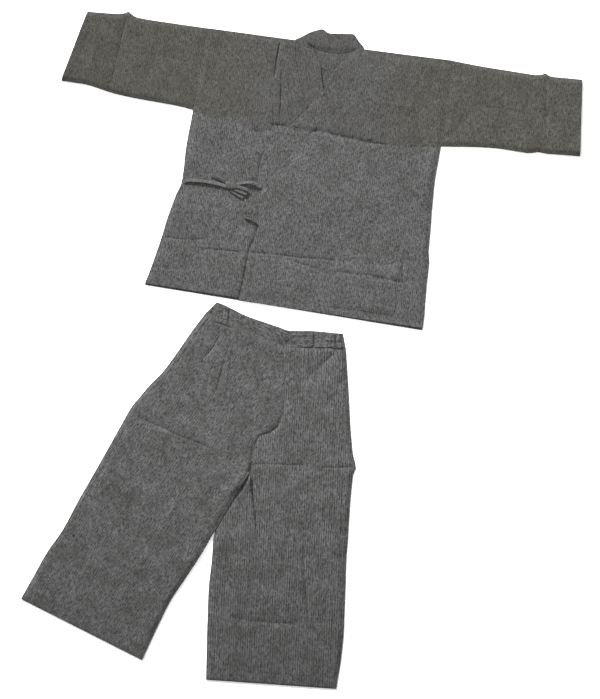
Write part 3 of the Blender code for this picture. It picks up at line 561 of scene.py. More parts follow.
jacketCreases = [              # width, depth, ledge, then x and y along the fold
    (0.5, -2.1, 1.4, -13.3, -0.7, -13.4, -3.9, -13.5, -6.7, -13.4, -8.9, -13.1, -11),
    (0.36, -1.3, 0.9, -12.5, -18, -12, -21.5, -11.5, -24),
    (0.6, -2, 1, -11.8, -8.2, -11.2, -12.9, -10.8, -15.8, -10.5, -19.3, -9.6, -24.4),
    (0.75, -3.2, -0.3, -9.8, -23.4, -8.1, -23.3, -4.6, -23.3, -1.9, -23.3, 0.7, -23.4, 4.3, -23.8, 7.5, -24.1,
     10.7, -24.3, 13.2, -24.6, 16.9, -24.5, 20.1, -24.4),
    (0.6, -2.6, -2, -13.2, -23.6, -9.8, -23.4, -6, -23.3, -2, -23.3, 2.4, -23.5),
    (0.8, -2, -1.7, -10.6, -23.6, -4.6, -23.3, 1, -23.4, 3, -23.6, 7.5, -24.1, 10.7, -24.3, 13.2, -24.6,
     16, -24.5),
    (0.8, -1.2, 0, 16, -24.5, 22.1, -24.2, 27.4, -23.7, 33, -23.1),
    (0.8, -1.6, 0, -20.4, -24.6, -16.1, -26.2, -12.3, -25, -9.3, -24.5),
    (0.8, -1, 0, -33.2, -23.3, -27.2, -23.7, -18.4, -25),
    (0.34, -1, 0.6, -5.4, -12.6, -4.5, -15.2, -2.9, -18.5, -2.6, -20.5),
    (0.36, -1.1, -0.6, -26.5, -59, -22.3, -58.8, -20, -58.5, -17.3, -58.5, -14.5, -58.1),
    (0.9, -1.7, -0.35, -14.8, -58, -9.5, -57.9, -3.4, -57.6, 0.5, -57.6, 5.2, -57.1, 12, -56.9),
    (0.9, -1.4, -0.6, -9, -58.4, -3, -58.6, 4, -59.6, 8.4, -60.4),
    (1, -1.5, -0.3, -36.4, -57.3, -32.6, -57.4, -28.7, -57, -24.1, -56.3),
    (0.8, -1.1, 0, -38, -64.9, -34, -65.4, -27, -65),
    (0.9, -1.3, 0, -24, -27, -23.4, -36, -24.2, -39),
    (0.9, -1.2, 0, -23.4, -46, -23.9, -52, -24.6, -57),
    (0.9, 1.2, 0, 13.6, -6, 13.9, -22, 13.4, -44),
    (0.8, -1.3, 0, 18.7, -43.1, 18.5, -50, 18.2, -55.6),
    (0.36, -1.4, 1.1, 26.9, -53, 27.4, -56.5, 27.9, -60.6),
    (0.34, -1.3, -1.2, 24.8, -59.8, 27, -59.9, 28.9, -60),
    (0.45, -1.2, -0.5, 8.6, -57.2, 12.3, -56.9, 19.3, -56.4, 24, -56),
    (0.9, 1.2, 0, -14.4, -58, -14.8, -66, -15, -70.5),
    (0.9, -1.2, 0, -34, -47.8, -28, -47.4, -23, -48.2),
    (0.9, -1.3, 0, 22, -33, 28.5, -39.5, 33, -42.4),
    (0.9, 1.2, 0, 2, -30, 4.5, -42, 3.6, -54),
    (0.7, -1.2, 0, 27, -59.4, 30, -59, 34.6, -59.6),
    (0.9, -1.2, 0, -29.5, -2, -28.8, -9, -29.6, -18),
    (0.9, -1.2, 0, 21, -2, 22.2, -9, 21.6, -17),
    (1.1, -1.3, 0, 6, -47, 14, -50.5, 24, -49.5),
    (1.1, -1.2, 0, -30, -33, -22, -36, -16, -34),
    (1.1, 1.2, 0, 8, -10, 16, -14, 27, -13),
    (1, -1.1, 0, 2, -66, 14, -67.2, 28, -66.2),
]


def lapEdge(y):
    # the edge that lies on the right front: the collar's free edge, then the open front edge
    edge = collarLeft + [row[:2] for row in leftTable if row[1] < -43]
    return np.interp(y, [p[1] for p in edge][::-1], [p[0] for p in edge][::-1])


def lapGap(y):
    # how far from that edge the right front comes up: wider where the edge shows dark
    upper, lower = 1.5 * within(y, -30.4, -31.8, -39.6, -41), within(y, -49.2, -50.4, -56, -58)
    return 0.10 + 0.50 * np.maximum.reduce([upper, lower, within(y, -5.6, -7, -12.2, -13.6)])


def inset(rows, atA, atB, count):
    rows = np.array(rows)
    part = rows[:count]
    unit = (part[:, 2:] - part[:, :2]) / widths(part)
    part[:, :2] += unit * atA
    part[:, 2:] -= unit * atB
    return rows


def jacketBack():
    rows = smoothRows(backTable, cloth["backStep"])
    grid = gridOf(onArmhole(onArmhole(rows, "right", 0), "left", 2), cloth["backStep"])
    return shell("jacketBack", "jacket", grid, 0, cloth["wall"], jacketCloth)


def frontRelief(grid, sideEdge, seeds, calm):
    # folds that lie flat at the side seam, the shoulder and the hem, and the hem's own height
    v, x, y, fromEnd = jacketValues, grid["x"], grid["y"], grid["fromEnd"]
    rest = v["seamRest"] * ease(-24.5, -21, y)
    relief = atLeast(v["puff"] * unevenness(x, y, seeds[0]) + creases(x, y, jacketCreases))
    relief *= (rest + (1 - rest) * ease(0, v["sideReach"], grid[sideEdge])) * calm
    relief *= (0.45 + 0.55 * ease(0, -2, y)) * (0.4 + 0.6 * ease(0, 4, fromEnd))
    wave = v["hemWave"] * ease(3, 0, fromEnd) * (0.5 + 0.5 * softNoise(x, y, 6, seeds[1]))
    return relief, hemStep(fromEnd, cloth["hem"], v["hemRise"], v["hemRise"]) + wave


def jacketFrontRight():
    v = jacketValues
    rows = smoothRows(inset(rightTable, 0, v["seamGap"], len(collarRight)), cloth["step"])
    lap = (0.4, 0, 0, *(value for y in np.arange(-14, -70, -2) for value in (lapEdge(y), y)))
    grid = drawn(gridOf(onArmhole(rows, "right", 0), cloth["step"]), jacketCreases + [lap])
    x, y = grid["x"], grid["y"]
    start = -0.04 + 0.07 * within(y, -13, -15, -30.2, -31.4)
    clear = ease(start, start - lapGap(y), x - lapEdge(y))         # flat where the other front laps
    byEdge = ease(-17.5, -15.5, x)
    nearBow = np.maximum(ease(-48.5, -43.6, y) * ease(-34 - 4.3 * byEdge, -39 - 0.4 * byEdge, y),
                         within(y, -54.5, -51.6, -48.8, -46.8) * ease(-18.5, -15.8, x))
    byLap = ease(7, 0, lapEdge(y) - x) * within(y, -32, -29, -16, -13)
    calm = clear * (1 - v["bowPress"] * nearBow) * (1 - v["lapPress"] * byLap)
    relief, hem = frontRelief(grid, "fromA", (11, 21), calm)
    low = frontLevel + atLeast(relief + hem * clear)
    obj = shell("jacketFrontRight", "jacket", grid, low, cloth["wall"], jacketCloth)
    k = rowAt(grid, "fromEnd", cloth["hem"])
    stitchAt("jacket", grid, k, x[k] < lapEdge(-70) - 0.8)
    return obj


def outerLevel(x, y):
    overFront = ease(27, 15.5, x) * ease(-1, -8, y)
    overBand = ease(-47.5, -43, y)
    lap = frontLevel + jacketValues["bandWall"] + 2 * cloth["gap"]
    return frontLevel + overFront * (frontLevel + overBand * (lap - 2 * frontLevel + 0.0001))


def jacketFrontLeft():
    v = jacketValues
    rows = smoothRows(inset(leftTable, v["seamGap"], 0, len(collarLeft)), cloth["step"])
    grid = drawn(gridOf(onArmhole(rows, "left", 2), cloth["step"]), jacketCreases)
    x, y = grid["x"], grid["y"]
    share = 0.25 + ease(-41.5, -39.5, y) * (0.28 + 0.27 * ease(-26, -20, y))
    reach = 1.2 + 2.6 * ease(-42.5, -39, y)
    calm = share + (1 - share) * ease(0, reach, grid["fromA"])
    relief, hem = frontRelief(grid, "fromB", (31, 22), calm)
    relief += hem + v["hemLift"] * ease(1.2, 0, grid["fromEnd"]) * within(x, 19.2, 20.4, 33.6, 35.2)
    relief += v["openEdge"] * ease(2, 0, grid["fromA"]) * within(y, -49.5, -52.5, -63, -69)
    low = outerLevel(x, y) + atLeast(relief)
    obj = shell("jacketFrontLeft", "jacket", grid, low, cloth["wall"], jacketCloth)
    stitchAt("jacket", grid, rowAt(grid, "fromEnd", cloth["hem"]), np.s_[2:-2])
    stitchBeside("jacket", grid, "fromA", v["edgeStitch"], y[:, 0] < -42)
    return obj, grid


pocketValues = {
    "left": 9.4, "right": 26.8, "top": -56.2, "bottom": -69, "slant": 0.012, "mouth": 3.1,
    "curve": 0.25,             # cm, by which the middle of its mouth curves up
    "puff": 0.0012, "gap": 0.0001, "wall": 0.0004, "step": 0.45,
}
pocketCreases = [
    (0.45, -1.2, -1, 16.8, -59.4, 20.6, -59.6, 24, -59.8, 26.6, -59.9, 31, -60),
    (0.6, -1.1, -0.8, 8, -60.1, 12.7, -59.7, 18.6, -59.5),
    (0.6, -0.6, -0.5, 14, -57.4, 18, -57, 23, -57.3),
]


def heightUnder(grid, x, y):
    # height of a grid's top under each point, from its four nearest grid points
    flatX, flatY, top = (grid[key].ravel() for key in ("x", "y", "top"))
    below = np.empty(x.shape)
    for index in np.ndindex(x.shape):
        d = (flatX - x[index]) ** 2 + (flatY - y[index]) ** 2
        near = np.argpartition(d, 4)[:4]
        w = 1 / (d[near] + 1e-4)
        below[index] = np.sum(top[near] * w) / np.sum(w)
    return below


def pocketPatch(front):
    v = pocketValues
    ys = np.linspace(v["top"], v["bottom"], 30)
    slant = v["slant"] * (v["top"] - ys)
    grid = gridOf(np.stack([v["left"] + slant, ys, v["right"] + slant, ys], axis=-1), v["step"])
    bow = np.sin((grid["x"] - v["left"]) / (v["right"] - v["left"]) * math.pi)
    grid["y"] += v["curve"] * bow * ease(-60, v["top"], grid["y"])
    grid = drawn(grid, pocketCreases)
    x, y = grid["x"], grid["y"]
    puff = v["puff"] * (1 + 0.4 * softNoise(x, y, 3, 41)) + creases(x, y, pocketCreases)
    low = heightUnder(front, x, y) + v["gap"] + atLeast(puff * ease(0, 1, fromRim(grid)))
    wall = v["wall"] * (0.35 + 0.65 * ease(0, 1.5, grid["fromEnd"]))
    obj = shell("pocketPatch", "jacket", grid, low, wall, jacketCloth)
    mouth = rowAt(grid, "fromStart", v["mouth"] - 0.3)
    for rows, cols in ((np.s_[1:-1], 1), (np.s_[1:-1], -2), (-2, np.s_[1:-1]), (mouth, np.s_[1:-1])):
        stitchAt("jacket", grid, rows, cols)
    return obj


sleeveTables = {
    "right": [armholes["right"], (-37, -0.3, -37.2, -22.2), (-42, -0.3, -42.4, -22),
              (-47.3, -0.3, -48.4, -21.8), (-51.8, -0.1, -53, -21.5), (-53.4, 0.5, -54.9, -21.3),
              (-54.3, 1.05, -56, -21.1), (-55.2, 0.6, -57.2, -20.9), (-56.4, 0.2, -58.8, -20.6),
              (-60.4, -0.2, -63.4, -20), (-65.1, -0.5, -69, -20)],
    "left": [armholes["left"], (36.5, 0.4, 36.8, -22.2), (41.5, 0.2, 42, -21.5), (48.2, 0.1, 48.8, -21),
             (54.2, 0, 55, -21.1), (56.6, 0.4, 57.4, -20.7), (57.5, 0.85, 58.5, -20.4),
             (58.4, 0.4, 59.7, -20.45), (59.4, 0.2, 60.8, -20.5), (63.2, 0.4, 65, -20.2),
             (67.3, 0.6, 69.4, -19.9)],
}
sleeveValues = {
    "puff": 0.0020, "seamRest": 0.35,      # as for the fronts
    "seamGap": 0.02,           # cm, beside the armhole seam
    "cuff": 2.2,               # cm, depth of the turned cuffs
    "cuffRise": 0.0004, "cuffWave": 0.0012,
    "edge": 0.0003,            # how far the folded edges are drawn in
    "seeds": {"right": 51, "left": 61},
}
sleeveCreases = [
    (0.55, -1.2, 0.25, -54.3, 1.1, -55.1, -8.2, -55.8, -20.9),
    (0.55, -1.2, 0.25, 57.5, 0.8, 59, -9, 60.4, -20.4),
    (0.9, -1.2, 0, -34, -10.5, -44, -9.6, -54, -10.4),
    (0.9, -1.2, 0, 34, -11.6, 46, -10.4, 56, -11.2),
    (0.8, -1.3, 0, -33.6, -21.5, -38, -16, -41, -12.5),
    (0.8, -1.3, 0, 33.2, -21.7, 37, -16.5, 39.5, -12),
    (0.9, 1.1, 0, -59, -3, -61.5, -12, -62.5, -18),
    (0.9, 1.1, 0, 62, -4, 63.5, -12, 64.5, -18),
    (0.9, -1.1, 0, -46, -2, -45, -9, -47, -17),
    (0.9, -1.1, 0, 46, -3, 48, -10, 47, -18),
]


def sleeveTube(side):
    v, wall = sleeveValues, cloth["wall"]
    table = np.array(sleeveTables[side], float)
    table[0, ::2] += -v["seamGap"] if side == "right" else v["seamGap"]
    grid = drawn(gridOf(smoothRows(table, cloth["step"]), cloth["step"]), sleeveCreases)
    x, y = grid["x"], grid["y"]
    relief = atLeast(v["puff"] * unevenness(x, y, v["seeds"][side]) + creases(x, y, sleeveCreases))
    relief *= v["seamRest"] + (1 - v["seamRest"]) * ease(0, 2, grid["fromStart"])
    relief += v["cuffWave"] * ease(3, 0, grid["fromEnd"]) * (0.6 + 0.4 * softNoise(x, y, 5, 71))
    relief += hemStep(grid["fromEnd"], v["cuff"], v["cuffRise"], v["cuffRise"])
    relief *= ease(0, 1.3, grid["fromA"]) * ease(0, 1.3, grid["fromB"])
    grid["top"] = top = 2 * wall + cloth["gap"] + atLeast(relief)
    # rings from the first folded edge, along the underside, round the other edge and back on top
    ux, uy = x[:, -1:] - x[:, :1], y[:, -1:] - y[:, :1]
    size = np.hypot(ux, uy)
    ux, uy, pull = ux / size, uy / size, cloth["round"] * wall / cm
    shift = np.zeros(x.shape[1])
    shift[0], shift[-1] = wall / cm, -wall / cm
    edge, zero = v["edge"] * (shift != 0), np.zeros_like(x)
    turned = (pull + wall / cm) * np.array([1, -1])
    shifts = np.concatenate([turned[:1], shift, turned[1:], shift[::-1]])
    ringX, ringY = (np.hstack([a[:, :1] - u * pull, a, a[:, -1:] + u * pull, a[:, ::-1]])
                    for a, u in ((x, ux), (y, uy)))
    middle = zero[:, :1] + wall + 0.5 * cloth["gap"]
    outerZ = np.hstack([middle, zero + edge, middle, (top - edge)[:, ::-1]])
    innerZ = np.hstack([middle, zero + wall, middle, (top - wall)[:, ::-1]])
    outer = inPlace("jacket", ringX, ringY, outerZ)
    inner = inPlace("jacket", ringX + ux * shifts, ringY + uy * shifts, innerZ)
    uv = np.stack([ringX * cm, ringY * cm], axis=-1)
    obj = ringShell("sleeve" + side.capitalize(), outer, inner, uv, jacketCloth)
    stitchAt("jacket", grid, rowAt(grid, "fromEnd", v["cuff"]), np.s_[2:-2])
    return obj


collarCreases = [
    (0.5, 0, -2.2, -9.6, -23.2, -6, -23.3, -2.6, -23.4, 1.6, -23.5),
    (0.35, 0, 1.6, -0.9, 3.4, -0.2, 0.6, 0.4, -1.6),
    (0.3, 0, 1, 5.4, 3.6, 5, 1, 4.4, -1.2),
    (0.3, 0, 0.8, -6.4, 2.2, -4.6, 0.2, -3.4, -1.4),
    (0.5, 0, 1.7, -2, -4.4, -1.1, -7.6, -0.5, -10.2, 0.4, -13, 1.2, -14.4),
    (0.3, 0, 1.6, 3.4, -5.4, 2, -8.4, 1.3, -11, 0.5, -13.4, -0.4, -15),
]


def collarBand():
    v = jacketValues
    table = [(*free, *row[2:], frontLevel * 1000, 0) for free, row in zip(collarRight, rightTable)][::-1]
    table += [(*row, frontLevel * 1000, 0) for row in collarNeck]
    lap = cloth["wall"] + v["bandWall"] + 3 * cloth["gap"]
    for k, (free, row) in enumerate(zip(collarLeft, leftTable)):
        level = frontLevel + (lap - frontLevel) * float(ease(0, 3, k)) - v["droop"] * float(ease(6, 10, k))
        table.append((*free, *row[:2], level * 1000, 0))
    rows = smoothRows(table, 0.5)
    grid = gridOf(rows[:, :4], v["bandStep"])
    x, y, fromA = grid["x"], grid["y"], grid["fromA"]
    level = np.interp(np.arange(x.shape[0]), np.arange(len(rows)) + 1, rows[:, 4]) * 0.001
    crown = v["crown"][0] * ease(0, 0.9, fromA) * ease(0, 0.9, grid["fromB"])
    crown += v["crown"][1] * atLeast(softNoise(x, y, 2.5, 81)) * ease(0, 0.6, fromA)
    low = level[:, None] + atLeast(creases(x, y, collarCreases))
    neck = ease(-3.6, -1.9, y) * within(x, -6, -5, 6, 8)
    over = within(y, -11, -14, -30, -32)
    thin = v["neckThin"] * neck * ease(1.6, 0, fromA) + 0.40 * over * ease(0.8, 0, fromA)
    wall = (v["bandWall"] + crown * 0.8) * (1 - thin)
    obj = shell("collarBand", "jacket", grid, low, wall, jacketCloth)
    for edge in ("fromA", "fromB"):
        stitchBeside("jacket", grid, edge, v["bandStitch"], np.s_[len(x) // 2 - 8:])
    return obj


# ties and bow, each a narrow folded strip
tieValues = {
    "width": {"side": 0.95, "tail": 0.85, "front": 0.85, "lower": 0.56, "loop": 0.85},
    "thick": 0.0016, "sides": 14, "step": 0.16,
    "taper": 0.15,             # share of the width at a strip's very end
    "channel": 0.35,           # share of its upper half that the soft channel along it goes in
    "uneven": 0.08,            # share of the width that varies
}
tieRest = frontLevel + cloth["wall"] + cloth["gap"] + 0.0011       # the uneven front's top, in metres


def unitRows(rows):
    return rows / np.linalg.norm(rows, axis=1)[:, None]


def tieStrip(name, path, rolls, width):
    # path rows: x, y and the underside's height over tieRest in mm; rolls: degrees at each row
    v, thick = tieValues, tieValues["thick"] / cm
    rows = smoothRows([(*point, roll) for point, roll in zip(path, rolls)], v["step"])
    points = np.stack([rows[:, 0], rows[:, 1], rows[:, 2] * 0.1 + tieRest / cm], axis=-1)
    tangent = unitRows(np.gradient(points, axis=0))
    side = unitRows(np.cross(tangent, (0, 0, 1)))
    up = np.cross(side, tangent)
    roll = np.radians(rows[:, 3])[:, None]
    across = side * np.cos(roll) + up * np.sin(roll)
    over = up * np.cos(roll) - side * np.sin(roll)
    n, count = len(points), v["sides"]
    angles = 2 * math.pi * np.arange(count) / count
    section = ((np.cos(angles), 0.6), (np.sin(angles), 0.8))
    ex, ez = (np.sign(part) * np.abs(part) ** power for part, power in section)
    ez = np.where(ez > 0, ez * (1 - v["channel"] * line(ex, 0.3)), ez)
    ends = np.minimum(np.arange(n), np.arange(n)[::-1]) / 2
    size = v["taper"] + (1 - v["taper"]) * np.clip(ends, 0, 1) ** 0.5
    wave = 1 + v["uneven"] * softNoise(np.arange(n) * 0.3, np.full(n, 3.3), 1, 7)
    centre = points + np.array([0, 0, 0.5 * thick])
    wide, high = ex[:, None] * 0.5 * width, ez[:, None] * 0.5 * thick
    verts = (centre[:, None] + across[:, None] * (wide * (size * wave)[:, None, None])
             + over[:, None] * (high * size[:, None, None])).reshape(-1, 3)
    along = runLength(np.linalg.norm(np.diff(points, axis=0), axis=1))[:, None]
    uv = np.stack(np.broadcast_arrays(ex * 0.5 * width * cm, along * cm), axis=-1).reshape(-1, 2)
    index = np.arange(n * count).reshape(n, count)
    faces = quadsRound(index).tolist() + [index[0][::-1].tolist(), index[-1].tolist()]
    world = inPlace("jacket", verts[:, 0], verts[:, 1], verts[:, 2] * cm)
    return turnOutward(meshFrom(name, world, faces, uv, tieCloth))


def tieLoop(name, paths, rolls, width):
    # a loop pressed flat: its two layers, fanned a little
    layers = [tieStrip(name, path, rolls, width) for path in paths]
    bm = bmesh.new()
    for layer in layers:
        bm.from_mesh(layer.data)
    bm.to_mesh(layers[0].data)
    bm.free()
    bpy.data.objects.remove(layers[1], do_unlink=True)
    return layers[0]


knotValues = {"centre": (-20.1, -41.3), "size": (3.3, 1.9, 0.66), "block": 0.72, "wraps": (0.10, 0.06)}


def bowKnot():
    # a tight little bundle: a rounded block with two folds wrapped round it
    centre, size, wraps = knotValues["centre"], knotValues["size"], knotValues["wraps"]
    bm = bmesh.new()
    bmesh.ops.create_uvsphere(bm, u_segments=40, v_segments=24, radius=1)
    for vert in bm.verts:
        x, y, z = (math.copysign(abs(part) ** knotValues["block"], part) for part in vert.co)
        wrap = wraps[0] * math.cos(9 * x + 2.5 * y) + wraps[1] * math.cos(15 * y - 4 * x)
        grow = 1 + wrap * (1 - abs(x) ** 2)
        px = centre[0] + 0.5 * size[0] * x * (1 + 0.3 * wrap)
        py = centre[1] + 0.5 * size[1] * y * grow - 0.12 * x
        pz = tieRest + cm * 0.5 * size[2] * (1 + z * (grow if z > 0 else 1))
        vert.co = Vector(inPlace("jacket", px, py, pz).tolist())
    layer = bm.loops.layers.uv.new("grain")
    for face in bm.faces:
        face.smooth = True
        for loop in face.loops:
            at = loop.vert.co
            loop[layer].uv = (at.x * 0.8 + at.y * 0.6, at.y * 0.8 - at.x * 0.6)
    mesh = asMesh("bowKnot", bm)
    mesh.materials.append(tieCloth)
    return linked("bowKnot", mesh)


tieTables = {          # x, y in cm and the underside's height over the front in mm; degrees of roll
    "side": ([(-32.7, -42.05, 0.1), (-31, -41.55, 1), (-28.4, -41.3, 1.6), (-25.5, -41.3, 1.7),
              (-22.9, -41.5, 1.5), (-20.4, -41.9, 0.6)], (0, 12, 16, 14, 10, 0)),
    "tail": ([(-25.8, -39.45, 0.6), (-24.7, -39.7, 1.5), (-23.1, -40.1, 1.7), (-21.6, -40.6, 1.3),
              (-20.6, -41, 0.8)], (-8, -18, -20, -14, -6)),
    "front": ([(-19.4, -40.9, 0.8), (-17.5, -40.3, 2.2), (-15.9, -39.85, 3.2), (-14.6, -39.75, 4.2),
               (-13.5, -40.2, 4.4), (-12.2, -40.8, 4.2)], (10, 20, 24, 10, 0, 0)),
    "lower": ([(-15.5, -49.35, 0.9), (-14.2, -49.6, 1.5), (-12.8, -49.9, 1.7), (-11.9, -50.4, 1.8),
               (-11.5, -50.9, 1.6)], (-70, -78, -78, -74, -60)),
}
loopTables = {         # the same for the two layers of each loop
    "loopUpper": ([[(-19.6, -41.2, 3), (-17.9, -41.45, 4.2), (-16.8, -41.65, 4.5), (-15.4, -41.95, 4)],
                   [(-19.5, -41.5, 1.4), (-17.9, -41.75, 2.5), (-16.8, -41.9, 2.8), (-15.6, -42.1, 2.6)]],
                  (4, 8, 6, 4)),
    "loopLower": ([[(-20, -42, 1.6), (-18.6, -42.35, 2.4), (-17.2, -42.7, 2.6), (-15.6, -42.95, 2.2)],
                   [(-20.2, -42.5, 0.2), (-18.8, -43.15, 0.7), (-17.8, -43.6, 0.8), (-16.5, -44, 0.5)]],
                  (4, 8, 10, 8)),
}

# trousers
rightLegTable = [
    (-19.9, 5, 0, -4), (-23.7, -0.1, 0.25, -10.4), (-27.8, -6.1, 0.4, -18), (-31.2, -10.7, -1.4, -24.9),
    (-34.5, -14.1, -6.6, -28), (-37, -17.1, -7.8, -31.4), (-38.9, -19.4, -8.2, -34.6),
    (-39.6, -20.5, -8.4, -36.2), (-40.3, -21.7, -9.1, -37.5), (-43.9, -28.3, -12.6, -43.2),
    (-48.9, -37.3, -17.4, -51.5), (-52.5, -43.7, -21.2, -58), (-56.5, -51.3, -25, -63.8),
    (-60.4, -57, -28.7, -69.4), (-63.4, -62.4, -31.8, -75.6), (-66.9, -68.8, -35.8, -84.2),
]
leftLegTable = [
    (0, -4, 16.3, -4.5), (0.25, -10.4, 16.7, -10.9), (0.4, -18, 17.1, -18), (-1.4, -24.9, 17.4, -24.7),
    (-6.6, -28, 17.7, -28.5), (-7.8, -31.4, 18, -31.6), (-8.2, -34.6, 18.6, -34.2),
    (-8.4, -36.2, 18.8, -35.6), (-9.1, -37.5, 18.2, -37), (-12.6, -43.2, 17.5, -42.6),
    (-17.4, -51.5, 16.9, -50.6), (-17.9, -54.4, 16.7, -54), (-18.2, -59, 16.3, -58.3),
    (-19, -66.6, 16, -66.6), (-19.2, -73.4, 15.7, -73.6), (-19.3, -76.6, 15.6, -76.6),
    (-19.4, -82.2, 15, -82.8), (-19.5, -89.1, 13.6, -91.4),
]
legTables = {"right": rightLegTable, "left": leftLegTable}
legValues = {
    "puff": 0.0030,            # height of the soft unevenness
    "hem": 2.4,                # cm, depth of the turned hems
    "hemRise": 0.0005, "hemGroove": 0.0006,
    "seamGap": 0.03,           # cm, between the legs
    "seamLevel": 0.72,         # share of the folds left at the crotch seam
    "seamLift": 0.0010,        # how much the inner seam stands up over the other leg
    "sideSeam": (1.5, 0.0020),     # cm in from the wearer's right side, and its depth
    "sideStitch": (1.75, 72),      # cm in from that side, and how far down it is seen
    "gatherPitch": 0.95, "gatherDepth": 0.0019, "gatherLength": 7.5,       # pleats below the waistband
    "flyDepth": 0.0009,
    "seeds": {"right": 101, "left": 121},
    "grain": {"right": math.radians(-30), "left": math.radians(-2.5)},
}
trouserCreases = [
    (0.8, -1.7, -0.35, -39.5, -21, -36.4, -22.9, -31, -25.2, -26.6, -27.3, -22.4, -28.8, -16.6, -31.6),
    (0.75, -2, 0.2, -15.2, -7.4, -16.1, -11.5, -16.7, -13.5, -17.4, -16.6),
    (0.65, -1.9, 0.2, -15.9, -0.6, -17.7, -3.4, -19, -5.5, -21.2, -7.6),
    (0.6, -1.3, 0, -16.6, -3.2, -17.2, -4.6, -16.9, -6.6),
    (0.7, 0, 1, -13.2, -3.6, -14, -11, -15, -20),
    (0.8, -1.8, 0, -9.6, -3, -8.8, -6, -8.4, -9.4),
    (0.8, -1.5, 0, -4.9, -11, -6.5, -15.9, -7.5, -18.5, -8.3, -22.6, -8.6, -27),
    (0.7, -1.2, 0, 1.2, -16.5, 0.8, -18.5, -0.5, -22.1, -2, -25.5, -4.4, -27.3, -6.4, -28.2, -7.7, -30.2),
    (0.36, -2, 1.4, -7.6, -28.4, -7.8, -29.8, -8.2, -32.2, -8.3, -34.7, -8.3, -36.8, -8.3, -38),
    (1.1, -2.4, 0, 14.6, -4.7, 11.2, -7.8, 8.3, -10.4, 5.7, -13, 4.2, -16.7, 3.6, -20.3),
    (0.6, -2, 0, 15.4, -4.3, 13.2, -6, 11.2, -7.8, 9.4, -9.4),
    (0.6, -1.2, 0, 11.6, -5, 9, -7, 6.4, -9.2),
    (0.6, -1.5, -0.2, -9.6, -34.5, -2, -34.6, 4.4, -34.7, 7.4, -34.9),
    (1, -2, 0, 4, -34.8, 7, -35.5, 10.1, -36.4, 14.2, -37.5),
    (0.6, -1.5, -0.2, 10, -35.4, 14.4, -35.4, 18.1, -35.2, 21.4, -35.3),
    (0.6, -2.6, 0, -13.6, -73.2, -8.3, -74.4, -3.2, -74.8, 5.4, -75.4),
    (0.8, -1.3, 0, 0.6, -74.7, 4.4, -74.8, 15.1, -75.1),
    (0.7, -2.8, 0.8, 5.2, -54.6, 5.6, -62.8, 6, -67.1, 6.8, -75),
    (0.8, -1.4, 0, 8.6, -45, 7, -50.1, 6.3, -53.6),
    (0.9, 1.2, 0, -11, -56, -12, -70, -12.4, -86),
    (0.9, -1.4, 0, -42.5, -29, -38, -38, -39, -50),
    (0.9, 1.3, 0, -24, -38, -34, -56, -43.5, -73),
    (0.9, -1.4, 0, -56, -52.5, -47, -58, -33, -66),
    (0.8, -1.3, 0, -61.5, -60.5, -50, -66.5, -34.5, -76),
    (0.8, 1.2, 0, -12, -24, -15.5, -34, -22, -46),
    (0.8, 1.1, 0, 11.5, -20, 12.5, -34, 11.8, -52),
    (0.8, -1.2, 0, 15.8, -12, 13, -17.5, 10, -20.5),
    (0.3, -2.2, -2.4, -17.9, 2.6, -17, 2.1, -15.8, 1.7),
    (0.3, -2, -2, -16, 1.7, -14.6, 1.3, -12.9, 0.6),
    (0.26, -1, -0.5, -7.2, -27.6, -4.9, -26.6, -2.6, -26.2),
    (0.4, -1.4, 0, -2.6, -26.6, -1.6, -24.6, -0.4, -22.2),
    (0.3, -2, 0, -8.4, -36.4, -8.2, -39.9, -7.7, -43.7, -7.3, -47, -7.1, -48.8, -6.6, -53),
    (0.34, -1, 0.6, 15.6, -37.5, 15.3, -46, 14.9, -58, 14.6, -70),
    (1.1, -1.3, 0, -26, -14, -22, -20, -24, -26),
    (1.1, -1.4, 0, -16, -40, -24, -52, -26, -60),
    (1.1, 1.2, 0, -2, -40, 0, -50, -1, -64),
    (1, -1.2, 0, -47, -62, -52, -70, -50, -78),
]
fold = {                       # at the crotch, where one leg stands over the other
    "path": [(-6.6, -53), (-7.1, -48.8), (-7.3, -47), (-7.7, -43.7), (-8.2, -39.9), (-8.4, -36.4)],
    "height": 0.0026, "reach": 1.8, "fall": 0.0060, "stand": 0.0068,
}


def legGrid(side, step):
    gaps = (0, legValues["seamGap"]) if side == "right" else (legValues["seamGap"], 0)
    return gridOf(smoothRows(inset(legTables[side], *gaps, len(legTables[side])), step), step)


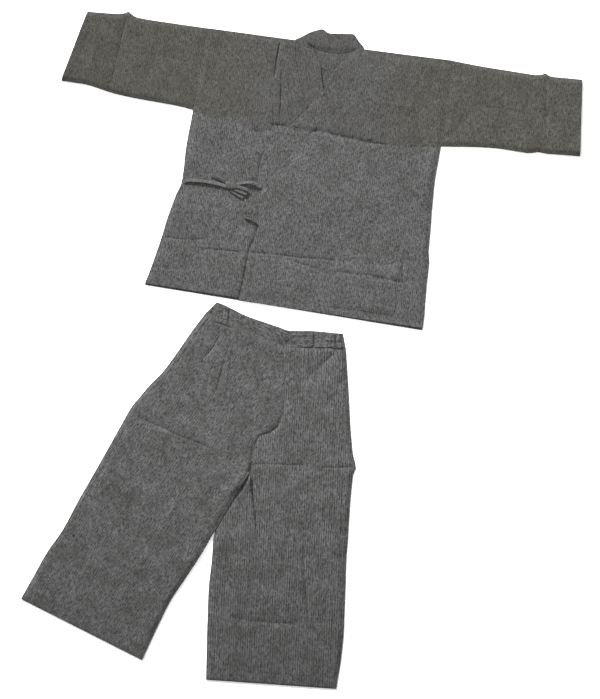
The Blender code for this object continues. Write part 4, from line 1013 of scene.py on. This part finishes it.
def legRelief(grid, side):
    v, seed = legValues, legValues["seeds"][side]
    x, y, fromStart, fromEnd = (grid[key] for key in ("x", "y", "fromStart", "fromEnd"))
    outside, inside = (grid[key] for key in (("fromA", "fromB") if side == "right" else ("fromB", "fromA")))
    relief = v["puff"] * unevenness(x * 0.9, y * 0.8, seed) + creases(x, y, trouserCreases, 40)
    # the two legs meet level at the crotch seam, and fall to the ground at their outer edges
    level = standing = v["seamLevel"] * ease(-37, -34.5, y)
    if side == "right":
        # the inner seam stands up where it lies over the other leg
        tall = 0.75 - 0.33 * ease(-39.5, -43.5, y)
        standing = atLeast(level, tall * within(y, -35.5, -38.5, -55, -72))
        relief += v["seamLift"] * (standing - level) * ease(5, 0.5, inside)
        relief += fold["stand"] * within(y, -36, -38, -38.8, -44) * ease(4, 0.3, inside)
        at, depth = v["sideSeam"]
        relief -= depth * line(outside - at, 0.20) * ease(75, 60, fromStart)
    else:
        # the cloth beside the other leg stands over the fold and falls away down the leg
        off, along, _, _ = alongPath(x, y, fold["path"])
        near = within(along, 0, 0.3, 0.94, 1.06)
        over = ease(0.08, -0.08, off)
        lift = fold["height"] * np.exp(-atLeast(-off) / fold["reach"]) + fold["fall"] * ease(-43.5, -37.2, y)
        sink = 0.85 * (1 - over) * np.exp(-atLeast(off) / fold["reach"])
        relief = relief * (1 - near * (sink + 0.4 * over)) + near * over * lift
    ends = ease(0, 1.3, outside) * (standing + (1 - standing) * ease(0, 1.3 - 0.8 * level, inside))
    pleats = 2 * math.pi * (x / v["gatherPitch"] + 0.5 * softNoise(x, y, 3, seed + 9))
    where = atLeast(ease(3.6, 6.5, x), ease(-13.2, -15, x + 0.45 * y)) * ends
    where = where * ease(v["gatherLength"], 0.8, fromStart)
    relief += v["gatherDepth"] * (0.5 + 0.5 * np.cos(pleats)) ** 1.4 * where
    start = 0.62 - 0.22 * ease(-1, 1, x) * (0.3 + 0.7 * ease(-0.25, 0.25, softNoise(x, 0 * y, 1.3, 78)))
    relief = atLeast(relief) * ends * (start + (1 - start) * ease(0, 1.6, fromStart))
    relief *= 0.3 + 0.7 * ease(0, 5, fromEnd)
    relief = atLeast(relief - v["flyDepth"] * line(x + 1.5, 0.16) * ease(-7.6, -6.6, y))
    relief += hemStep(fromEnd, v["hem"], v["hemRise"], v["hemGroove"])
    return atLeast(relief) * ease(-0.2, 0.5, fromEnd)


def legShell(part, side, grid, low):
    name = "leg" + part + side.capitalize()
    return shell(name, "trousers", grid, low, cloth["wall"], legCloth[side], legValues["grain"][side])


def legFront(side):
    v = legValues
    grid = drawn(legGrid(side, cloth["step"]), trouserCreases)
    obj = legShell("Front", side, grid, frontLevel + legRelief(grid, side))
    stitchAt("trousers", grid, rowAt(grid, "fromEnd", v["hem"]), np.s_[1:-1])
    if side == "right":
        distance, length = v["sideStitch"]
        stitchBeside("trousers", grid, "fromA", distance, grid["fromStart"].mean(axis=1) < length)
    return obj


def legBack(side):
    return legShell("Back", side, legGrid(side, cloth["backStep"]), 0)


buttonValues = {
    "centre": (0.8, -1.9),
    "radius": 0.0062, "height": 0.0018, "hole": 0.0008, "spread": 0.0013,
    "gap": 0.0002,             # between it and the waistband
}
waistTable = [
    (-17.3, 7.6, -19.9, 5), (-15, 6.7, -16.8, 3.55), (-9.8, 4.1, -11.4, 1.15), (-4.2, 2.1, -5, -1.75),
    (-1.1, 1.05, -1.1, -3.5), (2, 0.1, 0.4, -4.05), (7.9, 0, 7.9, -4.3), (13.3, -0.5, 13.3, -4.4),
    (15.6, -0.7, 16.3, -4.5),
]
waistValues = {
    "wall": 0.0012, "gap": 0.0008,     # one layer, and the gap between the two
    "seamGap": 0.04,           # cm, beside the legs
    "puff": 0.0019, "gather": 0.0013, "pitch": 0.95,
    "lapX": -1.1, "lap": 0.0007,       # cm, where the fly laps, and how much higher it lies
    "elastic": ((-18.6, -14.2), (7.9, 16.2)),
    "levels": 13, "rim": 0.35, "channels": (0.34, 0.68), "channelDepth": 0.0006,
    "height": 0.036,           # metres of cloth from its top to its seam
    "tucks": (7.7, 8.05, 13.3, -14.1),
}
bandCreases = [                # tucks across the waistband, folds along it, then two soft ones across
    (0.36, -2.8, 3.2, 7.9, 0.6, 7.95, -2, 7.8, -4.7),
    (0.34, -2.4, 2.8, 13.5, 0.2, 13.6, -2.2, 13.9, -4.9),
    (0.36, -2.8, 3.2, 15, 0, 15.2, -2.4, 15.7, -5.2),
    (0.34, -2.2, 2.4, -13.8, 6.8, -14, 5, -14.4, 2.6),
    (0.34, -2.2, 2.4, -17, 8.2, -18.2, 5.8, -19.7, 3.2),
    (0.3, -1.1, -1.3, -1.8, -3.2, 2, -3.25, 4.6, -3.3, 8.2, -3.3),
    (0.28, -1.3, -1.6, 0.9, -1.75, 3, -1.75, 6.4, -1.6),
    (0.3, -1, -1, 11, -1.3, 13.4, -1, 16, -1.2),
    (0.5, -1, 0, -9.6, 4.2, -10.2, 2.6, -11, 0.8),
    (0.5, -1, 0, -5.4, 2.6, -5.6, 0.6, -5.9, -1.6),
]


def waistSeamY(x):
    rows = np.array([rightLegTable[0], leftLegTable[0]])[np.where(x < rightLegTable[0][2], 0, 1)]
    return rows[..., 1] + (rows[..., 3] - rows[..., 1]) * (x - rows[..., 0]) / (rows[..., 2] - rows[..., 0])


def waistBand():
    v, wall = waistValues, waistValues["wall"]
    rows = smoothRows(waistTable, 0.2)
    levels = rimmed(np.linspace(0, 1, v["levels"]), v["rim"])[:, None]
    x = rows[:, 0] + (rows[:, 2] - rows[:, 0]) * levels
    y = rows[:, 1] + (rows[:, 3] - rows[:, 1]) * levels
    y[-1] = waistSeamY(x[-1]) + v["seamGap"]
    along = runLength(np.hypot(np.diff(x[6]), np.diff(y[6])))
    elastic = np.zeros_like(x)
    for low, high in v["elastic"]:
        elastic = atLeast(elastic, within(x, low - 0.4, low + 0.4, high - 0.4, high + 0.4))
    wave = 0.5 + 0.5 * np.cos(2 * math.pi * (x / v["pitch"] + 0.55 * softNoise(x, y, 2.5, 91)))
    relief = v["puff"] * (0.6 + 0.4 * softNoise(x, y, 4, 92)) + v["gather"] * elastic * wave
    for level in v["channels"]:
        relief -= v["channelDepth"] * elastic * line(levels - level, 0.05)
    relief *= 0.45 + 0.55 * ease(0, 0.14, levels)
    relief += 0.0002 * ease(0.70, 1, levels) + creases(x, y, bandCreases)
    relief = atLeast(relief) + v["lap"] * ease(v["lapX"] - 0.08, v["lapX"] + 0.02, x)
    relief *= within(along, 0, 0.9, along[-1] - 0.9, along[-1])
    band = {"x": x, "y": y, "top": 2 * wall + v["gap"] + relief}
    button = buttonValues
    under = np.hypot(x - button["centre"][0], y - button["centre"][1]) < button["radius"] / cm - 0.02
    button["base"] = float(band["top"][under].max()) + button["gap"]
    # rings along the front and, with half the points, back along the underside
    hidden = np.s_[:, -2:0:-2]
    ringX, ringY = (np.hstack([a, a[hidden]]) for a in (x, y))
    innerX, outerZ, innerZ = x.copy(), band["top"].copy(), band["top"] - wall
    innerX[:, 0] += wall / cm
    innerX[:, -1] -= wall / cm
    outerZ[:, [0, -1]] = innerZ[:, [0, -1]] = wall + 0.5 * v["gap"]
    flat = np.zeros_like(x[hidden])
    outer = inPlace("trousers", ringX, ringY, np.hstack([outerZ, flat]))
    inner = inPlace("trousers", np.hstack([innerX, x[hidden]]), ringY, np.hstack([innerZ, flat + wall]))
    grain = np.concatenate([along, along[hidden[1]]]) * cm
    uv = np.stack(np.broadcast_arrays(levels * v["height"], grain), axis=-1)
    obj = ringShell("waistBand", outer, inner, uv, bandCloth)
    for level in (8, 11):
        stitchAt("trousers", band, level, (x[6] > v["lapX"] + 0.3) & (x[6] < 4.4))
    for low, high in v["elastic"]:
        for level in (5, 9):
            stitchAt("trousers", band, level, (x[level] > low + 0.2) & (x[level] < high - 0.4))
    for mark in v["tucks"]:
        stitchAt("trousers", band, np.s_[1:-1], int(np.argmin(np.abs(x[6] - mark))))
    return obj


def evaluated(obj):
    return bpy.data.meshes.new_from_object(obj.evaluated_get(bpy.context.evaluated_depsgraph_get()))


buttonProfile = [
    (0, 0), (0.72, 0), (0.94, 0.14), (1, 0.45), (0.97, 0.80), (0.86, 1), (0.74, 0.98), (0.66, 0.78),
    (0, 0.70),
]


def buttonDisc():
    v = buttonValues
    bm = bmesh.new()
    points = [bm.verts.new((r * v["radius"], 0, z * v["height"])) for r, z in buttonProfile]
    for p, q in zip(points, points[1:]):
        bm.edges.new((p, q))
    bmesh.ops.spin(bm, geom=bm.verts[:] + bm.edges[:], cent=(0, 0, 0), axis=(0, 0, 1),
                   angle=2 * math.pi, steps=48, use_merge=True)
    bmesh.ops.remove_doubles(bm, verts=bm.verts, dist=1e-6)
    bmesh.ops.recalc_face_normals(bm, faces=bm.faces)
    obj = linked("waistButton", asMesh("waistButton", bm))
    bm = bmesh.new()
    for sx in (-1, 1):
        for sy in (-1, 1):
            made = bmesh.ops.create_cone(bm, cap_ends=True, segments=16, radius1=v["hole"], radius2=v["hole"],
                                         depth=0.01)
            bmesh.ops.translate(bm, verts=made["verts"], vec=(sx * v["spread"], sy * v["spread"], 0.001))
    drill = linked("drills", asMesh("drills", bm))
    cut = obj.modifiers.new("holes", "BOOLEAN")
    cut.operation, cut.solver, cut.object = "DIFFERENCE", "EXACT", drill
    cutMesh = evaluated(obj)
    obj.modifiers.clear()
    obj.data = cutMesh
    bpy.data.objects.remove(drill, do_unlink=True)
    spot = Vector(inPlace("trousers", *v["centre"], v["base"]).tolist())
    for vert in cutMesh.vertices:
        vert.co += spot
    cutMesh.materials.clear()
    cutMesh.materials.append(buttonFinish)
    # two runs of thread side by side, each from hole to hole
    high = v["base"] + 0.70 * v["height"] + threadLift
    reach = v["spread"] / cm
    for side in (-reach, reach):
        xs = np.linspace(-reach, reach, 6) + v["centre"][0]
        stitchRuns.append(inPlace("trousers", xs, v["centre"][1] + side, high))
    return obj


# stitching, laid along its runs by Geometry Nodes
stitchValues = {"pitch": 0.0034, "length": 0.0024, "radius": 0.00028, "seed": 4}


def stitchTree():
    tree = bpy.data.node_groups.new("stitchesAlongRuns", "GeometryNodeTree")
    new = tree.interface.new_socket
    new("Geometry", in_out="INPUT", socket_type="NodeSocketGeometry")
    kinds = {"Pitch": "Float", "Length": "Float", "Radius": "Float", "Seed": "Int", "Thread": "Material"}
    sockets = {label: new(label, in_out="INPUT", socket_type="NodeSocket" + kind).identifier
               for label, kind in kinds.items()}
    new("Geometry", in_out="OUTPUT", socket_type="NodeSocketGeometry")
    add = nodeMaker(tree)
    given = add("NodeGroupInput").outputs
    inputs = {"Curve": given["Geometry"], "Length": given["Pitch"]}
    points = add("GeometryNodeCurveToPoints", inputs, mode="LENGTH")
    inputs = {"Vertices": 6, "Radius": given["Radius"], "Depth": given["Length"]}
    tube = add("GeometryNodeMeshCylinder", inputs)
    align = add("FunctionNodeAlignRotationToVector", {"Vector": points.outputs["Tangent"]}, axis="Z")
    inputs = {0: (0.85, 0.85, 0.85), 1: (1.1, 1.1, 1.1), "Seed": given["Seed"]}
    jitter = add("FunctionNodeRandomValue", inputs, data_type="FLOAT_VECTOR")
    placed = add("GeometryNodeInstanceOnPoints", {
        "Points": points.outputs["Points"], "Instance": tube.outputs["Mesh"], "Rotation": align.outputs[0],
        "Scale": jitter.outputs[0]})
    real = add("GeometryNodeRealizeInstances", {0: placed.outputs[0]})
    finish = add("GeometryNodeSetMaterial", {"Geometry": real.outputs[0], "Material": given["Thread"]})
    add("NodeGroupOutput", {0: finish.outputs[0]})
    return tree, sockets


def stitching():
    curve = bpy.data.curves.new("stitchRuns", "CURVE")
    curve.dimensions = "3D"
    for run in stitchRuns:
        spline = curve.splines.new("POLY")
        spline.points.add(len(run) - 1)
        spline.points.foreach_set("co", np.hstack([run, np.ones((len(run), 1))]).ravel())
    runs = linked("stitchRuns", curve)
    tree, sockets = stitchTree()
    modifier = runs.modifiers.new("stitches", "NODES")
    modifier.node_group = tree
    for label, value in {**stitchValues, "thread": threadFinish}.items():
        modifier[sockets[label.capitalize()]] = value
    made = evaluated(runs)
    bpy.data.objects.remove(runs, do_unlink=True)
    return linked("stitching", made)


# the set
made = {"jacket_back": jacketBack(), "jacket_front_right": jacketFrontRight()}
made["jacket_front_left"], frontGrid = jacketFrontLeft()
made["pocket"] = pocketPatch(frontGrid)
made["sleeve_right"], made["sleeve_left"] = sleeveTube("right"), sleeveTube("left")
made["collar"] = collarBand()
print("jacket made")
for nodeName in ("tie_side", "bow_tail", "tie_front", "tie_lower"):
    key = nodeName.split("_")[1]
    made[nodeName] = tieStrip(key + "Tie", *tieTables[key], tieValues["width"][key])
for nodeName, key in (("bow_loop_upper", "loopUpper"), ("bow_loop_lower", "loopLower")):
    made[nodeName] = tieLoop(key + "Tie", *loopTables[key], tieValues["width"]["loop"])
made["bow_knot"] = bowKnot()
print("ties made")
for side in ("right", "left"):
    made["trousers_front_" + side] = legFront(side)
    made["trousers_back_" + side] = legBack(side)
made["waistband"] = waistBand()
made["button"] = buttonDisc()
print("trousers made")
threads = stitching()
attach(threads, "root")
print("stitching made")

# the cut of what shows: width and length in metres, area in square metres
cuts = {
    "jacket_back": (0.734, 0.713, 0.483), "jacket_front_right": (0.513, 0.705, 0.279),
    "jacket_front_left": (0.484, 0.716, 0.275), "pocket": (0.170, 0.128, None),
    "sleeve_right": (0.434, 0.360, 0.146), "sleeve_left": (0.434, 0.366, 0.153),
    "collar": (0.056, 1.130, 0.055), "trousers_front_right": (0.349, 0.905, 0.288),
    "trousers_front_left": (0.345, 0.880, 0.246), "trousers_back_right": (0.349, 0.905, 0.288),
    "trousers_back_left": (0.345, 0.880, 0.246), "waistband": (0.760, 0.037, None),
    "tie_side": (0.010, 0.128, None), "bow_tail": (0.010, 0.058, None), "tie_front": (0.010, 0.068, None),
    "bow_loop_upper": (0.010, 0.086, None), "bow_loop_lower": (0.010, 0.086, None),
    "tie_lower": (0.010, 0.040, 0.0003),
}
resting = {
    "jacket_back": [], "jacket_front_right": ["jacket_back"], "sleeve_right": [], "sleeve_left": [],
    "jacket_front_left": ["jacket_front_right"], "pocket": ["jacket_front_left"],
    "collar": ["jacket_back", "jacket_front_right"], "trousers_front_right": ["trousers_back_right"],
    "trousers_front_left": ["trousers_back_left"],
}
for nodeName, piece in made.items():
    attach(piece, "root")
    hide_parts(nodeName)
    slot = "tie_cloth" if "tie" in nodeName or "bow" in nodeName else "cloth"
    slot = "button" if nodeName == "button" else slot
    if nodeName in cuts:
        width, length, area = cuts[nodeName]
        rests = resting.get(nodeName, ["jacket_front_right"] if slot == "tie_cloth" else [])
        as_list(rests)

# floor, light and camera
floorValues = {"size": 60, "level": -0.0002, "colour": (0.95, 0.95, 0.95), "roughness": 0.95}
bpy.ops.mesh.primitive_plane_add(size=floorValues["size"], location=(0, 0, floorValues["level"]))
floor = bpy.context.active_object
floor.name = "paleFloor"
paint = makePlain("paleFloorPaint", floorValues["colour"], floorValues["roughness"], 0.4, 0.002)
floor.data.materials.append(paint)

lightValues = {          # the low lamp brings out the folds, the round one falls off towards the edges
    "sky": 0.80,
    "low": {"from": (-0.44, 0.90, 0.42), "power": 14, "soft": math.radians(8),
            "colour": (1, 0.995, 0.98)},
    "round": {"spot": (0, -0.30, 4.4), "aim": (-0.03, 0.22, 0), "cone": math.radians(32),
              "power": 340, "soft": 0.35},
}
world = bpy.data.worlds.new("studioAir")
scene.world = world
world.use_nodes = True
air = world.node_tree.nodes["Background"].inputs
air["Color"].default_value, air["Strength"].default_value = (1, 1, 1, 1), lightValues["sky"]


def addLamp(name, kind, spot, towards, **settings):
    lamp = bpy.data.lights.new(name, kind)
    for key, value in settings.items():
        setattr(lamp, key, value)
    obj = linked(name, lamp)
    obj.location = spot
    obj.rotation_euler = towards.to_track_quat("-Z", "Y").to_euler()


v = lightValues["low"]
addLamp("lowLight", "SUN", Vector(v["from"]) * 3, -Vector(v["from"]), energy=v["power"], angle=v["soft"],
        color=v["colour"])
v = lightValues["round"]
addLamp("roundLight", "SPOT", v["spot"], Vector(v["aim"]) - Vector(v["spot"]), energy=v["power"],
        spot_size=v["cone"], spot_blend=1, shadow_soft_size=v["soft"])

cameraValues = {"aim": (-0.0167, -0.0176, 0), "tilt": math.radians(5), "distance": 3.4667,
                "lens": 68.6695}
tilt = cameraValues["tilt"]
back = Vector((0, -math.sin(tilt), math.cos(tilt)))
camera = linked("camera", bpy.data.cameras.new("camera"))
camera.data.lens = cameraValues["lens"]
camera.rotation_euler = (tilt, 0, 0)
camera.location = Vector(cameraValues["aim"]) + cameraValues["distance"] * back
scene.camera = camera
print("stage made")
